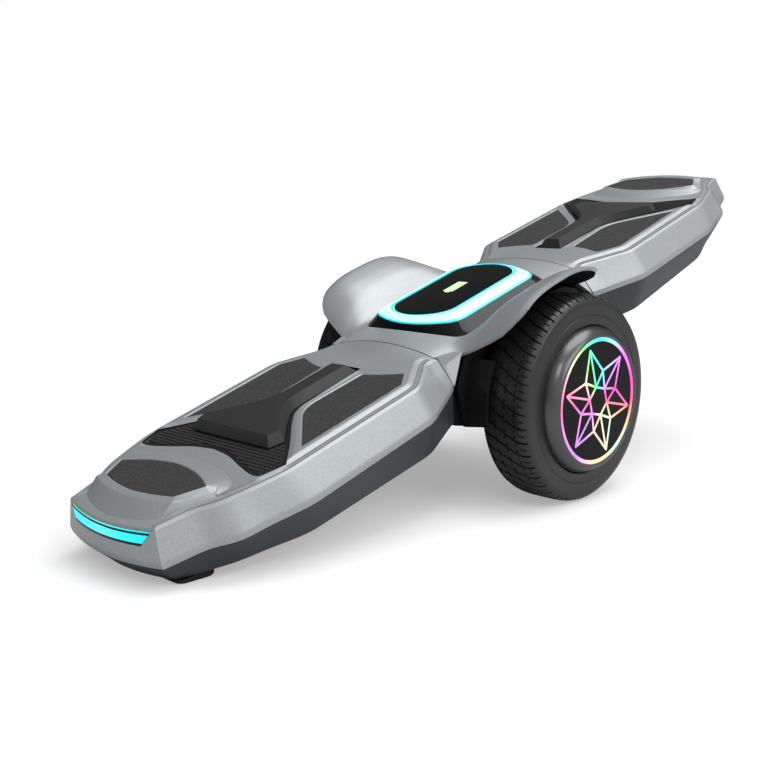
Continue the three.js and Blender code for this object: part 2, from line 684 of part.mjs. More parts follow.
function pod() {
  const group = new THREE.Group();
  const rearBush = piece("rear_twist_bush", twistBush(), BLACK);
  rearBush.rotation.z = Math.PI;
  group.add(
    piece("pod_upper_shell", podUpperShell(), SILVER),
    piece("pod_lower_shell", podLowerShell(), BLACK),
    piece("left_wheel_liner", wheelLiner(1), BLACK),
    piece("right_wheel_liner", wheelLiner(-1), BLACK),
    piece("display_base", displayBase(), GLOSS),
    piece("display_light_ring", displayLightRing(), LIT),
    piece("display_glass", displayGlass(), GLOSS),
    piece("display_board", block([-44, 44], [-26, 26], [73, 74.6]), BOARD),
    piece("axle_frame", axleFrame(), CASTING),
    piece("battery_pack", block([-60, 60], [-37, 37], [24, 57.5]), SLEEVE),
    piece("control_board", controlBoard(), BOARD),
    piece("front_twist_bush", twistBush(), BLACK),
    rearBush,
    piece("left_motor_cable", motorCable(1), BLACK),
    piece("right_motor_cable", motorCable(-1), BLACK),
  );
  return group;
}

// ---------------------------------------------------------------- wheels
function tyre() {
  const inner = RIM_RADIUS + GAP;
  return turned([
    [inner, TYRE_INNER_Y + 0.5], [66, TYRE_INNER_Y], [75.3, TYRE_INNER_Y], [80, TYRE_INNER_Y + 2.2],
    [TYRE_RADIUS, TYRE_INNER_Y + 6.5], [TYRE_RADIUS, TYRE_OUTER_Y - 6.5], [80, TYRE_OUTER_Y - 2.2],
    [75.3, TYRE_OUTER_Y], [inner, TYRE_OUTER_Y], [inner, TYRE_INNER_Y + 0.5],
  ]);
}

function hubShell() {
  const bore = AXLE_RADIUS + 0.5;
  return turned([
    [bore, 69], [16, 69], [20, 71.5], [55, 73.5], [RIM_RADIUS, 76], [RIM_RADIUS, 117.5],
    [53.3, 117.5], [53.3, 77.5], [bore, 77.5], [bore, 69],
  ]);
}

function hubCover() {
  const recess = 50;
  return turned([
    [0, 121.2], [53, 121.2], [53, 117.8], [RIM_RADIUS, 117.8], [57.2, 121.5], [54.5, 125.8],
    [HUB_FACE_RADIUS, HUB_FACE_Y], [recess, HUB_FACE_Y], [recess, 124.4], [0, 124.4],
  ]);
}

function hubLightRing() {
  return turned([[47, 124.7], [49.7, 124.7], [49.7, 127.6], [47, 127.6], [47, 124.7]]);
}

function hubDisc() {
  return turned([[0, 124.7], [46.7, 124.7], [46.7, 127], [0, 127]]);
}

function stator() {
  const bore = AXLE_RADIUS + GAP;
  return turned([[bore, 84], [48, 84], [48, 112], [bore, 112], [bore, 84]]);
}

function axle() {
  return cut(rodY(AXLE_RADIUS, 29, 118), rodY(3, 20, 76));
}

function wheel(name) {
  const group = new THREE.Group();
  group.add(
    piece(`${name}_tyre`, tyre(), RUBBER),
    piece(`${name}_hub_shell`, hubShell(), HUB),
    piece(`${name}_hub_cover`, hubCover(), HUB),
    piece(`${name}_hub_light_ring`, hubLightRing(), LIT),
    piece(`${name}_hub_disc`, hubDisc(), GLOSS),
    piece(`${name}_stator`, stator(), COPPER),
    piece(`${name}_axle`, axle(), STEEL),
  );
  if (name === "right") group.rotation.z = Math.PI;
  return group;
}

// ---------------------------------------------------------------- the whole board
const board = new THREE.Group();
board.add(pod(), wheel("left"), wheel("right"));
board.add(deck("front", "left", "right"), deck("rear", "right", "left"));
board.rotation.y = PITCH;
board.position.z = TYRE_RADIUS;

// The origin is the middle of the footprint of the resting board.
const hoverboard = new THREE.Group();
hoverboard.add(board);
hoverboard.updateMatrixWorld(true);
const extent = new THREE.Box3().setFromObject(hoverboard, true);
board.position.x -= (extent.min.x + extent.max.x) / 2;

export default hoverboard;
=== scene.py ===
"""The looks of a skateboard-shaped balance board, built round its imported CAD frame.

Shapes are made in the board's own frame in millimetres: x along the board to the nose, y along the
axle to the left wheel, z up and the origin on the axle. BOARD carries them into the row frame.
"""

import json
import math

import bmesh
import bpy
import numpy as np
from mathutils import Matrix, Vector
from mathutils.geometry import delaunay_2d_cdt


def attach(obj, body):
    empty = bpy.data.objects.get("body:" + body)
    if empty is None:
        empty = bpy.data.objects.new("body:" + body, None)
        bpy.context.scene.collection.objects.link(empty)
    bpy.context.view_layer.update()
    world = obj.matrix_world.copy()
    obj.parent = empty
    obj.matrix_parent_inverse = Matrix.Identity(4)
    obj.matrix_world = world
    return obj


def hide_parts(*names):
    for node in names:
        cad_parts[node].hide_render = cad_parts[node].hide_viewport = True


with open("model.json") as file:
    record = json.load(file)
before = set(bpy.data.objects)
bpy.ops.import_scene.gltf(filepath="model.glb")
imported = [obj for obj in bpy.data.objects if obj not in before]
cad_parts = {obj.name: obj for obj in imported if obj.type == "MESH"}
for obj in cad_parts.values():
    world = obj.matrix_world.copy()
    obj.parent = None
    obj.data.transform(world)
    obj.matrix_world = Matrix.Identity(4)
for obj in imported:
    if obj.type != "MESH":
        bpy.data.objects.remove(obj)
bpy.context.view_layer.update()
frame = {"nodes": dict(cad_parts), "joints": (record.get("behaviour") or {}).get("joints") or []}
MM = 0.001


def joint(name):
    return next(j for j in frame["joints"] if j["name"] == name)


AXLE = joint("left_wheel_spin")["pos_m"]
FORWARD = Vector(joint("front_deck_twist")["axis"])
LEFT = Vector((0, 1, 0))
UP = FORWARD.cross(LEFT)
BOARD = (
    Matrix.Translation((AXLE[0], 0, AXLE[2]))
    @ Matrix((FORWARD, LEFT, UP)).transposed().to_4x4()
    @ Matrix.Scale(MM, 4)
)
HALF_TURN = Matrix.Rotation(math.pi, 4, "Z")
FACING = {"front": BOARD, "rear": BOARD @ HALF_TURN, "left": BOARD, "right": BOARD @ HALF_TURN}

# ---------------------------------------------------------------- driving dimensions, in millimetres
TYRE_RADIUS = 82.5
TYRE_INNER_Y = 74.8
TYRE_OUTER_Y = 117.9
SEAM = 93.5  # half the pod's length
DECK_START = 94.5
RIM_Z = 70.3
EDGE_Z = 50
SPLIT_Z = 45.5
ROOF_Z = 67.2
WALL = 2.8
TRACE_STEP = 1.6  # longest step along a traced contour
PLATEAU_Z = 74.0
NOSE_Z = 72.7
RECESS_Z = 69.6
MAT_Z = 71.6
PAD_Z = 73.4


# ---------------------------------------------------------------- plan outlines
def rounded(points, reach, steps=4, closed=True):
    """The outline with each corner replaced by a parabola that starts `reach` before the corner."""
    corners = [np.array(p, float) for p in points]
    reaches = reach if isinstance(reach, (list, tuple)) else [reach] * len(corners)
    out = []
    for i, corner in enumerate(corners):
        if reaches[i] == 0 or (not closed and i in (0, len(corners) - 1)):
            out.append(corner)
            continue
        before = corners[i - 1] - corner
        after = corners[(i + 1) % len(corners)] - corner
        start = corner + before * min(reaches[i] / np.linalg.norm(before), 0.45)
        end = corner + after * min(reaches[i] / np.linalg.norm(after), 0.45)
        for t in np.linspace(0, 1, steps + 1):
            out.append((1 - t) ** 2 * start + 2 * t * (1 - t) * corner + t * t * end)
    return np.array(out)


def around(half):
    """The whole anticlockwise outline from its +Y half, which runs from low x to high x."""
    half = np.asarray(half, float)
    far = half * [1, -1]
    near = half[::-1]
    if abs(half[-1, 1]) < 1e-9:
        near = near[1:]
    if abs(half[0, 1]) < 1e-9:
        near = near[:-1]
    return np.vstack([far, near])


def mirrored(ring):
    return (np.asarray(ring) * [1, -1])[::-1]


def inset(ring, by):
    """An anticlockwise outline with every side moved inwards, or outwards for a negative distance."""
    ring = np.asarray(ring, float)
    back = ring - np.roll(ring, 1, axis=0)
    ahead = np.roll(ring, -1, axis=0) - ring
    back /= np.linalg.norm(back, axis=1, keepdims=True)
    ahead /= np.linalg.norm(ahead, axis=1, keepdims=True)
    both = back + ahead
    normal = np.stack([-both[:, 1], both[:, 0]], axis=1)
    return ring + normal * by / (1 + (back * ahead).sum(axis=1, keepdims=True))


def depth_inside(points, ring):
    """Distance from each point to an outline, positive inside it."""
    p = np.asarray(points, float)[:, None, :]
    a = np.asarray(ring, float)[None]
    b = np.roll(a, -1, axis=1)
    side = b - a
    t = np.clip(((p - a) * side).sum(2) / np.maximum((side * side).sum(2), 1e-12), 0, 1)
    distance = np.linalg.norm(p - a - t[..., None] * side, axis=2).min(1)
    straddles = (a[..., 1] > p[..., 1]) != (b[..., 1] > p[..., 1])
    rise = np.where(np.abs(side[..., 1]) < 1e-12, 1e-12, side[..., 1])
    left_of = p[..., 0] < a[..., 0] + side[..., 0] * (p[..., 1] - a[..., 1]) / rise
    inside = (straddles & left_of).sum(1) % 2 == 1
    return np.where(inside, distance, -distance)


def smooth(x, low, high):
    t = np.clip((np.asarray(x, float) - low) / (high - low), 0, 1)
    return t * t * (3 - 2 * t)


# ---------------------------------------------------------------- meshes
class Solid:
    """Vertices and faces that are collected, merged where they meet and turned into one piece."""

    def __init__(self):
        self.points = []
        self.faces = []
        self.paint = []

    def add(self, points, faces, paint=0):
        first = len(self.points)
        self.points += [tuple(p) for p in points]
        self.faces += [tuple(first + i for i in face) for face in faces]
        self.paint += list(paint) if hasattr(paint, "__len__") else [paint] * len(faces)

    def grid(self, rows, wrap=False, paint=0, skip=None):
        """A net of quads over rows of equally many points."""
        count = len(rows[0])
        columns = range(count if wrap else count - 1)
        faces = []
        for r in range(len(rows) - 1):
            for c in columns:
                if skip and skip(r, c):
                    continue
                after = (c + 1) % count
                faces.append((r * count + c, r * count + after, (r + 1) * count + after, (r + 1) * count + c))
        self.add([p for row in rows for p in row], faces, paint)

    def cap(self, ring):
        """A fill of a ring of [x, y, z] points, triangulated in plan."""
        flat = [Vector((p[0], p[1])) for p in ring]
        count = len(flat)
        verts, _, faces, origin, _, _ = delaunay_2d_cdt(
            flat, [(i, (i + 1) % count) for i in range(count)], [], 1, 1e-5
        )
        heights = [ring[o[0] if o else 0][2] for o in origin]
        self.add([(v.x, v.y, h) for v, h in zip(verts, heights)], faces)

    def piece(self, name, body, slot, materials, where=BOARD, replaces=(), crease=32, weighted=True):
        """Merges, orients and shades the mesh, places it and puts it on its body."""
        mesh = bpy.data.meshes.new(name)
        bm = bmesh.new()
        made = [bm.verts.new(p) for p in self.points]
        for face, colour in zip(self.faces, self.paint):
            if len(set(face)) < 3:
                continue
            try:
                bm.faces.new([made[i] for i in face]).material_index = colour
            except ValueError:
                continue
        bmesh.ops.remove_doubles(bm, verts=bm.verts, dist=2e-3)
        bmesh.ops.dissolve_degenerate(bm, edges=bm.edges, dist=1e-4)
        bmesh.ops.recalc_face_normals(bm, faces=bm.faces)
        bm.transform(where)
        bm.to_mesh(mesh)
        bm.free()
        for face in mesh.polygons:
            face.use_smooth = True
        mesh.set_sharp_from_angle(angle=math.radians(crease))
        for material in materials:
            mesh.materials.append(material)
        made = bpy.data.objects.new(name, mesh)
        bpy.context.scene.collection.objects.link(made)
        if weighted:
            modifier = made.modifiers.new("even_shading", "WEIGHTED_NORMAL")
            modifier.keep_sharp = True
        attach(made, body)
        if replaces:
            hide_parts(*replaces)
        return made

    def fitted(self, name, body, skin, node, slot, materials, **options):
        """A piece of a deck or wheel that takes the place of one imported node."""
        return self.piece(
            f"{name}_{skin}_skin", f"{name}_{body}", slot, materials, FACING[name], [f"{name}_{node}"],
            **options,
        )


def level(ring, z):
    return [(p[0], p[1], z) for p in ring]


def lofted(rings):
    """A closed solid through rings of [x, y, z] points."""
    solid = Solid()
    solid.grid(rings, wrap=True)
    solid.cap(rings[0])
    solid.cap(rings[-1])
    return solid


class Sheet:
    """A surface over a plan outline: contours, triangulated, at heights of their own or a field's."""

    def __init__(self, outline, field):
        self.field = field
        self.outline = np.asarray(outline, float)
        self.points = []
        self.heights = []
        self.edges = []
        self.contour(outline)

    def traced(self, ring, clear_of=()):
        """A contour at the field's height in short steps, left out where it would enter an outline."""
        ring = np.asarray(ring, float)
        fine = []
        for start, end in zip(ring, np.roll(ring, -1, axis=0)):
            steps = max(1, int(np.linalg.norm(end - start) / TRACE_STEP))
            fine += [start + (end - start) * i / steps for i in range(steps)]
        keep = np.ones(len(fine), bool)
        for outline in clear_of:
            keep &= depth_inside(fine, outline) < -0.25
        first = len(self.points)
        places = np.cumsum(keep) - 1
        self.points += [Vector(p) for p, k in zip(fine, keep) if k]
        self.heights += [None] * int(keep.sum())
        for i in range(len(fine)):
            after = (i + 1) % len(fine)
            if keep[i] and keep[after]:
                self.edges.append((first + int(places[i]), first + int(places[after])))

    def contour(self, ring, z=None):
        """A closed contour at the field's height, or at a height or heights of its own."""
        first = len(self.points)
        count = len(ring)
        self.points += [Vector((p[0], p[1])) for p in ring]
        self.heights += [None] * count if z is None else list(np.broadcast_to(z, count))
        self.edges += [(first + i, first + (i + 1) % count) for i in range(count)]

    def scatter(self, points):
        """Loose points at the field's height."""
        self.points += [Vector((p[0], p[1])) for p in points]
        self.heights += [None] * len(points)

    def into(self, solid, holes=(), paint=None):
        """Triangulates the surface and adds it to a solid, left open inside the holes."""
        verts, _, faces, origin, _, _ = delaunay_2d_cdt(self.points, self.edges, [], 0, 1e-4)
        flat = np.array([(v.x, v.y) for v in verts])
        z = self.field(flat)
        for i, sources in enumerate(origin):
            known = [self.heights[s] for s in sources if s < len(self.heights)]
            given = [height for height in known if height is not None]
            if given:
                z[i] = given[0]
        middles = np.array([flat[list(f)].mean(0) for f in faces])
        keep = depth_inside(middles, self.outline) > 0
        for hole in holes:
            keep &= depth_inside(middles, hole) < 0
        kept = [f for f, k in zip(faces, keep) if k]
        colours = paint(middles[keep]) if paint else 0
        solid.add([(x, y, h) for (x, y), h in zip(flat, z)], kept, colours)


def net_points(outline, spacing, margin):
    """A regular net of points inside an outline, clear of it by a margin."""
    low, high = np.min(outline, axis=0), np.max(outline, axis=0)
    xs = np.arange(low[0], high[0], spacing)
    ys = np.arange(low[1], high[1], spacing)
    net = np.array([(x, y) for x in xs for y in ys])
    return net[depth_inside(net, outline) > margin]


def measured(made, where, values):
    """Stores a share for each vertex, worked out from its place on the board in millimetres."""
    back = np.array(where.inverted())
    points = np.array([v.co[:] for v in made.data.vertices])
    local = points @ back[:3, :3].T + back[:3, 3]
    layer = made.data.attributes.new("share", "FLOAT", "POINT")
    layer.data.foreach_set("value", np.asarray(values(local), np.float32))


# ---------------------------------------------------------------- materials
def shader(name, colour, roughness, metallic=0.0, **sockets):
    """A principled material, its node tree and the shader node."""
    made = bpy.data.materials.new(name)
    made.use_nodes = True
    tree = made.node_tree
    bsdf = tree.nodes["Principled BSDF"]
    bsdf.inputs["Base Color"].default_value = (*colour, 1)
    bsdf.inputs["Roughness"].default_value = roughness
    bsdf.inputs["Metallic"].default_value = metallic
    for socket, value in sockets.items():
        bsdf.inputs[socket.replace("_", " ")].default_value = value
    return made, tree, bsdf


def add_node(tree, kind, **inputs):
    """A new node, with values on some of its sockets."""
    made = tree.nodes.new(kind)
    for socket, value in inputs.items():
        made.inputs[socket.replace("_", " ")].default_value = value
    return made


def worked_out(tree, operation, first, second):
    """A calculation with two sockets or numbers."""
    step = tree.nodes.new("ShaderNodeMath")
    step.operation = operation
    for socket, value in zip(step.inputs, (first, second)):
        if isinstance(value, (int, float)):
            socket.default_value = value
        else:
            tree.links.new(value, socket)
    return step.outputs[0]


def noise(tree, per_metre, detail=2.0, seed=0.0):
    """Noise in the piece's own space, in features per metre."""
    place = tree.nodes.new("ShaderNodeTexCoord")
    texture = add_node(tree, "ShaderNodeTexNoise", Scale=per_metre, Detail=detail)
    texture.noise_dimensions = "4D"
    texture.inputs["W"].default_value = seed
    tree.links.new(place.outputs["Object"], texture.inputs["Vector"])
    return texture.outputs["Fac"]


def ramp(tree, factor, stops):
    node = tree.nodes.new("ShaderNodeValToRGB")
    elements = node.color_ramp.elements
    while len(elements) < len(stops):
        elements.new(0.5)
    for element, (at, colour) in zip(elements, stops):
        element.position = at
        element.color = (*colour, 1)
    tree.links.new(factor, node.inputs["Fac"])
    return node.outputs["Color"]


def scaled(colour, by):
    return tuple(min(1.0, c * by) for c in colour)


def bump(tree, bsdf, height, strength, distance):
    node = add_node(tree, "ShaderNodeBump", Strength=strength, Distance=distance)
    tree.links.new(height, node.inputs["Height"])
    tree.links.new(node.outputs["Normal"], bsdf.inputs["Normal"])


WEAR_SCALE = 14  # patches per metre


def mottled(name, colour, roughness, grain, spread, strength, distance, metallic=0.0, **sockets):
    """A finish whose colour and surface vary with a fine grain, in features per metre."""
    made, tree, bsdf = shader(name, colour, roughness, metallic, **sockets)
    fine = noise(tree, grain)
    stops = [(0.3, scaled(colour, 1 - spread)), (0.7, scaled(colour, 1 + spread))]
    tree.links.new(ramp(tree, fine, stops), bsdf.inputs["Base Color"])
    worn = [(0.35, (roughness * 0.9,) * 3), (0.7, (roughness * 1.12,) * 3)]
    wear = ramp(tree, noise(tree, WEAR_SCALE, 4.0, 3.0), worn)
    tree.links.new(wear, bsdf.inputs["Roughness"])
    bump(tree, bsdf, fine, strength, distance)
    return made


def glowing(name, colour, strength):
    made, _, bsdf = shader(name, (0.02, 0.02, 0.02), 0.25)
    bsdf.inputs["Emission Color"].default_value = (*colour, 1)
    bsdf.inputs["Emission Strength"].default_value = strength
    return made


def silver_paint():
    return mottled("silver_paint", (0.335, 0.355, 0.365), 0.36, 1500, 0.16, 0.16, 0.0003, metallic=0.35)


def slate_plastic():
    return mottled("slate_plastic", (0.028, 0.034, 0.041), 0.5, 1500, 0.10, 0.25, 0.0003)


def grip_coat():
    """Gritty deck coating: dark and pale grains."""
    colour = (0.034, 0.034, 0.034)
    made, tree, bsdf = shader("grip_coat", colour, 0.9, Specular_IOR_Level=0.3)
    grit = noise(tree, 1000, 1.0)
    stops = [(0.36, scaled(colour, 0.62)), (0.5, colour), (0.66, scaled(colour, 1.7))]
    tree.links.new(ramp(tree, grit, stops), bsdf.inputs["Base Color"])
    bump(tree, bsdf, grit, 0.7, 0.0007)
    return made


def hub_paint():
    return mottled("hub_paint", (0.10, 0.101, 0.102), 0.26, 2200, 0.05, 0.05, 0.0002, metallic=0.85)


def tyre_rubber():
    return mottled("tyre_rubber", (0.011, 0.0112, 0.0115), 0.36, 600, 0.12, 0.12, 0.0003)


def plain_rubber():
    colour = (0.007, 0.0072, 0.0075)
    return mottled("plain_rubber", colour, 0.62, 900, 0.12, 0.2, 0.0003, Specular_IOR_Level=0.35)


def pedal_plastic():
    return mottled("pedal_plastic", (0.016, 0.0162, 0.0165), 0.5, 1600, 0.08, 0.3, 0.0003)


def studded_rubber():
    return mottled("studded_rubber", (0.008, 0.0082, 0.0085), 0.34, 900, 0.1, 0.1, 0.0003)


def black_plastic():
    colour = (0.004, 0.0042, 0.0045)
    return mottled("black_plastic", colour, 0.6, 1200, 0.1, 0.2, 0.0003, Specular_IOR_Level=0.2)


def gloss_black():
    colour = (0.003, 0.0032, 0.0035)
    return mottled("gloss_black", colour, 0.07, 40, 0.1, 0.01, 0.0002, Specular_IOR_Level=0.28)


def disc_black():
    colour = (0.002, 0.0021, 0.0022)
    return mottled("disc_black", colour, 0.2, 40, 0.1, 0.01, 0.0002, Specular_IOR_Level=0.1)


def measured_glow(name, base, roughness, stops, strength):
    """Light whose colour follows the share that `measured` stores."""
    made, tree, bsdf = shader(name, base, roughness)
    share = tree.nodes.new("ShaderNodeAttribute")
    share.attribute_name = "share"
    tree.links.new(ramp(tree, share.outputs["Fac"], stops), bsdf.inputs["Emission Color"])
    bsdf.inputs["Emission Strength"].default_value = strength
    return made


def lamp_glow():
    """Lit cyan, palest in the middle of the lamp."""
    stops = [(0.0, (0.1, 1.0, 1.0)), (0.5, (0.0, 0.90, 0.96)), (1.0, (0.0, 0.75, 0.82))]
    return measured_glow("lamp_glow", (0.0, 0.02, 0.02), 0.4, stops, 1.1)


def ring_glow():
    """The display's light ring: cyan along both edges and white hot between them."""
    cyan, hot = (0.0, 0.80, 0.95), (0.62, 0.95, 1.0)
    stops = [(0.0, (0.0, 0.5, 0.6)), (0.10, cyan), (0.2, hot), (0.8, hot), (0.9, cyan)]
    stops += [(1.0, (0.0, 0.75, 0.85))]
    return measured_glow("ring_glow", (0.05, 0.2, 0.22), 0.25, stops, 1.15)


HUES = [  # round the hub from the front, by the top: share of a turn and colour
    (0.00, (1.0, 0.10, 0.45)), (0.07, (1.0, 0.45, 0.55)), (0.12, (1.0, 0.90, 0.60)),
    (0.17, (0.25, 1.0, 0.15)), (0.24, (0.0, 0.95, 0.95)), (0.31, (0.35, 0.75, 1.0)),
    (0.37, (0.80, 0.20, 1.0)), (0.45, (1.0, 0.05, 0.55)), (0.52, (1.0, 0.10, 0.30)),
    (0.58, (1.0, 0.60, 0.30)), (0.66, (0.55, 1.0, 0.75)), (0.73, (1.0, 0.70, 0.35)),
    (0.79, (1.0, 0.60, 0.55)), (0.85, (0.50, 0.22, 1.0)), (0.93, (1.0, 0.25, 0.85)),
    (1.00, (1.0, 0.10, 0.45)),
]


def hub_glow():
    """Colours that run round the wheel's axle."""
    made, tree, bsdf = shader("hub_glow", (0.05, 0.05, 0.05), 0.25)
    place = tree.nodes.new("ShaderNodeTexCoord")
    split = tree.nodes.new("ShaderNodeSeparateXYZ")
    tree.links.new(place.outputs["Object"], split.inputs["Vector"])
    x = worked_out(tree, "SUBTRACT", split.outputs["X"], AXLE[0])
    z = worked_out(tree, "SUBTRACT", split.outputs["Z"], AXLE[2])
    angle = worked_out(tree, "ARCTAN2", z, x)
    turn = worked_out(tree, "FRACT", worked_out(tree, "DIVIDE", angle, 2 * math.pi), 0)
    tree.links.new(ramp(tree, turn, HUES), bsdf.inputs["Emission Color"])
    bsdf.inputs["Emission Strength"].default_value = 1.3
    return made


def brushed(name, colour, roughness):
    return mottled(name, colour, roughness, 420, 0.06, 0.05, 0.0002, metallic=1.0)


SILVER = silver_paint()
SLATE = slate_plastic()
GRIP = grip_coat()
HUB = hub_paint()
TYRE = tyre_rubber()
RUBBER = plain_rubber()
PEDAL = pedal_plastic()
STUDDED = studded_rubber()
BLACK = black_plastic()
GLOSS = gloss_black()
DISC = disc_black()
LAMP = lamp_glow()
RING = ring_glow()
RAINBOW = hub_glow()
BATTERY_SIGN = glowing("battery_sign", (0.66, 1.0, 0.50), 1.3)
STEEL = brushed("ground_steel", (0.55, 0.56, 0.57), 0.28)
CASTING = brushed("casting", (0.50, 0.51, 0.52), 0.5)
COPPER = mottled("windings", (0.35, 0.16, 0.08), 0.4, 700, 0.3, 0.4, 0.0005, metallic=0.8)
BOARD_GREEN = mottled("circuit_board", (0.015, 0.10, 0.045), 0.4, 500, 0.15, 0.1, 0.0002)
SLEEVE = mottled("battery_sleeve", (0.02, 0.07, 0.22), 0.35, 300, 0.08, 0.1, 0.0002)


# ---------------------------------------------------------------- deck outlines
# Each half runs from the seam to the nose corner on the +Y side.
RIM_SIDE = [
    (DECK_START, 57.5), (104, 57.5), (140, 82), (266, 80.5), (290.5, 74), (312, 66.9), (327, 56.3),
    (352, 50.3),
]
EDGE_SIDE = [
    (DECK_START, 69.3), (104, 73.9), (142.3, 91), (262, 90), (290, 82), (313, 77.5), (328, 64),
    (357.5, 54.5),
]
BELLY_SIDE = [
    (DECK_START, 61), (104, 64), (139.5, 77), (262, 74), (288, 66), (309, 62), (322, 57), (347.7, 46),
]
SIDE_REACH = [0, 3, 7, 9, 8, 8, 6, 0]
RIM_BULGE = 8.2
EDGE_BULGE = 7.5
BELLY_BULGE = 7.3
SEAM_STEPS = 28
LAMP_COLUMNS = 17
LAMP_TOP = 0.05  # shares of the way down the deck's flank
LAMP_FOOT = 0.53
BELLY_Z = 16
BELLY_START = 174  # the belly rises from here to the nose
BELLY_SPAN = 174
BELLY_RISE = 13.7

RIM_HALF = rounded(RIM_SIDE, SIDE_REACH, closed=False)
EDGE_HALF = rounded(EDGE_SIDE, SIDE_REACH, closed=False)
BELLY_HALF = rounded(BELLY_SIDE, SIDE_REACH, closed=False)


def lamp_share(share):
    """How much of the nose's width the lamp takes at a share of the way down the flank."""
    return float(np.interp(share, [LAMP_TOP, LAMP_FOOT], [0.944, 0.739]))


def deck_ring(half, bulge, lamp, by=0.0):
    """The whole plan outline of a deck: right side, nose, left side and seam."""
    corner = half[-1]
    across = np.array([-(1 + lamp) / 2, *np.linspace(-lamp, lamp, LAMP_COLUMNS), (1 + lamp) / 2])
    nose = np.stack([corner[0] + bulge * (1 - across**2), corner[1] * across], axis=1)
    seam_y = np.linspace(half[0][1], -half[0][1], SEAM_STEPS + 1)[1:-1]
    seam = np.stack([np.full(len(seam_y), half[0][0]), seam_y], axis=1)
    ring = np.vstack([half * [1, -1], nose, half[::-1], seam])
    return inset(ring, by) if by else ring


def flank_ring(share, by=0.0):
    half = RIM_HALF * (1 - share) + EDGE_HALF * share
    return deck_ring(half, RIM_BULGE + (EDGE_BULGE - RIM_BULGE) * share, lamp_share(share), by)


def belly_ring(share, by=0.0):
    half = EDGE_HALF * (1 - share) + BELLY_HALF * share
    return deck_ring(half, EDGE_BULGE + (BELLY_BULGE - EDGE_BULGE) * share, lamp_share(1), by)


def belly_z(points):
    along = np.maximum(0, (np.asarray(points)[:, 0] - BELLY_START) / BELLY_SPAN)
    return BELLY_Z + BELLY_RISE * along**2


RIM_RING = flank_ring(0)
# The rim carried on behind the seam, so that the seam itself doesn't count as an edge.
OPEN_RIM = np.vstack([[(20, -57.5)], RIM_RING[: len(RIM_HALF) * 2 + LAMP_COLUMNS + 2], [(20, 57.5)]])

GRIP_PAD = rounded(
    [
        (139.2, 22.4), (191.5, 20.6), (203, 25), (217.7, 40.4), (242, 66.4), (144.7, 68), (128.1, 55.5),
        (135.4, 38.5),
    ],
    [2.5, 7, 7, 5, 1.2, 1.5, 1.2, 9],
)
RECESS_HALF = [
    (131.3, 0), (131.8, 14.3), (192.7, 13), (204.5, 17.3), (220.5, 31.9), (237.3, 49.6), (262.2, 73.6),
    (280.8, 68), (280.5, 57), (275, 39), (268, 20), (265.5, 0),
]
RECESS = around(rounded(RECESS_HALF, [0, 1.2, 6, 6, 5, 5, 0.8, 2.5, 6, 8, 9, 0], closed=False))
TOE = around(rounded(
    [(295.3, 0), (296.2, 12), (299, 26.5), (304, 40), (308.8, 49.5), (327.1, 39.7), (331.6, 22), (333.7, 0)],
    [0, 6, 6, 5, 0.8, 0.8, 9, 0], closed=False,
))
PEDAL_FOOT = [
    (134.1, 0), (134.1, 11.8), (190, 10.8), (201.6, 12.5), (212, 19.5), (226.5, 33), (239, 46),
    (250.3, 41.5), (250.3, 0),
]
PEDAL_CROWN = [
    (140.2, 0), (140.2, 7.5), (188, 7.2), (199, 8.5), (212, 16), (224, 28), (238, 42.3), (247, 39.6),
    (247, 0),
]
PEDAL_REACH = [0, 0, 5, 5, 6, 5, 0, 0, 0]
# The nose boss: its foot, and its top edge with heights that fall away to the rear corners.
BOSS_FOOT = [
    (281, 0), (282.5, 20), (286, 38), (291.5, 53), (299, 60.5), (309.5, 58.6), (316.3, 54.2), (323.5, 50.6),
    (343.3, 42.6), (349.5, 30), (353, 15), (354.8, 0),
]
BOSS_EDGE = [
    (292.2, 0, 76.8), (293.6, 20, 76.8), (296.8, 37, 76.6), (300.3, 49, 75.9), (304.5, 55.6, 74.4),
    (308.9, 56.6, 73.5), (315.8, 52.2, 74.5), (323.4, 48.2, 75.8), (331.8, 45.2, 77.6), (336.4, 31, 78.0),
    (339.2, 16, 78.2), (340.3, 0, 78.2),
]
BOSS_REACH = [0, 7, 7, 6, 4, 3, 5, 4, 0.7, 6, 6, 0]
BOSS_START = 292.2
BOSS_Z = 76.7
BOSS_TILT = 0.03

# Heights across the deck's edge, by distance inside the rim.
FLANK_LANES = [
    (0, 69.95), (0.25, 70.3), (0.8, 70.6), (2.2, 71.3), (2.35, 70.4), (3.3, 70.4), (3.45, 71.8),
    (4.9, 71.95), (5.05, 71.1), (5.9, 71.1), (6.05, 72.2), (9.2, 73.75), (10.2, PLATEAU_Z),
]
NOSE_LANES = [
    (0, 69.95), (0.25, 70.3), (0.8, 70.6), (2.2, 71.2), (2.35, 70.3), (3.3, 70.3), (3.45, 71.6),
    (7.0, 72.0), (7.15, 71.1), (8.1, 71.1), (8.3, NOSE_Z),
]
NOSE_START_LANES = [
    (0, 69.95), (0.25, 70.3), (0.8, 70.6), (2.2, 71.2), (2.35, 70.3), (3.3, 70.3), (3.45, 71.6), (7, NOSE_Z),
]
STRIP = [(0, -1.5), (0.35, -1.15), (3.3, -0.25), (3.6, -0.6), (3.9, -0.6), (4.3, 0)]  # beside the recess
LIP_WIDTH = 6
LIP_DROP = 0.8
NOSE_START = 262.2
SEAM_ARCH = 78.3
SEAM_FALL = 0.0026
DOME_END = 119  # where the arch of the seam has faded out, along the middle of the deck
DOME_CURVE = 0.0048


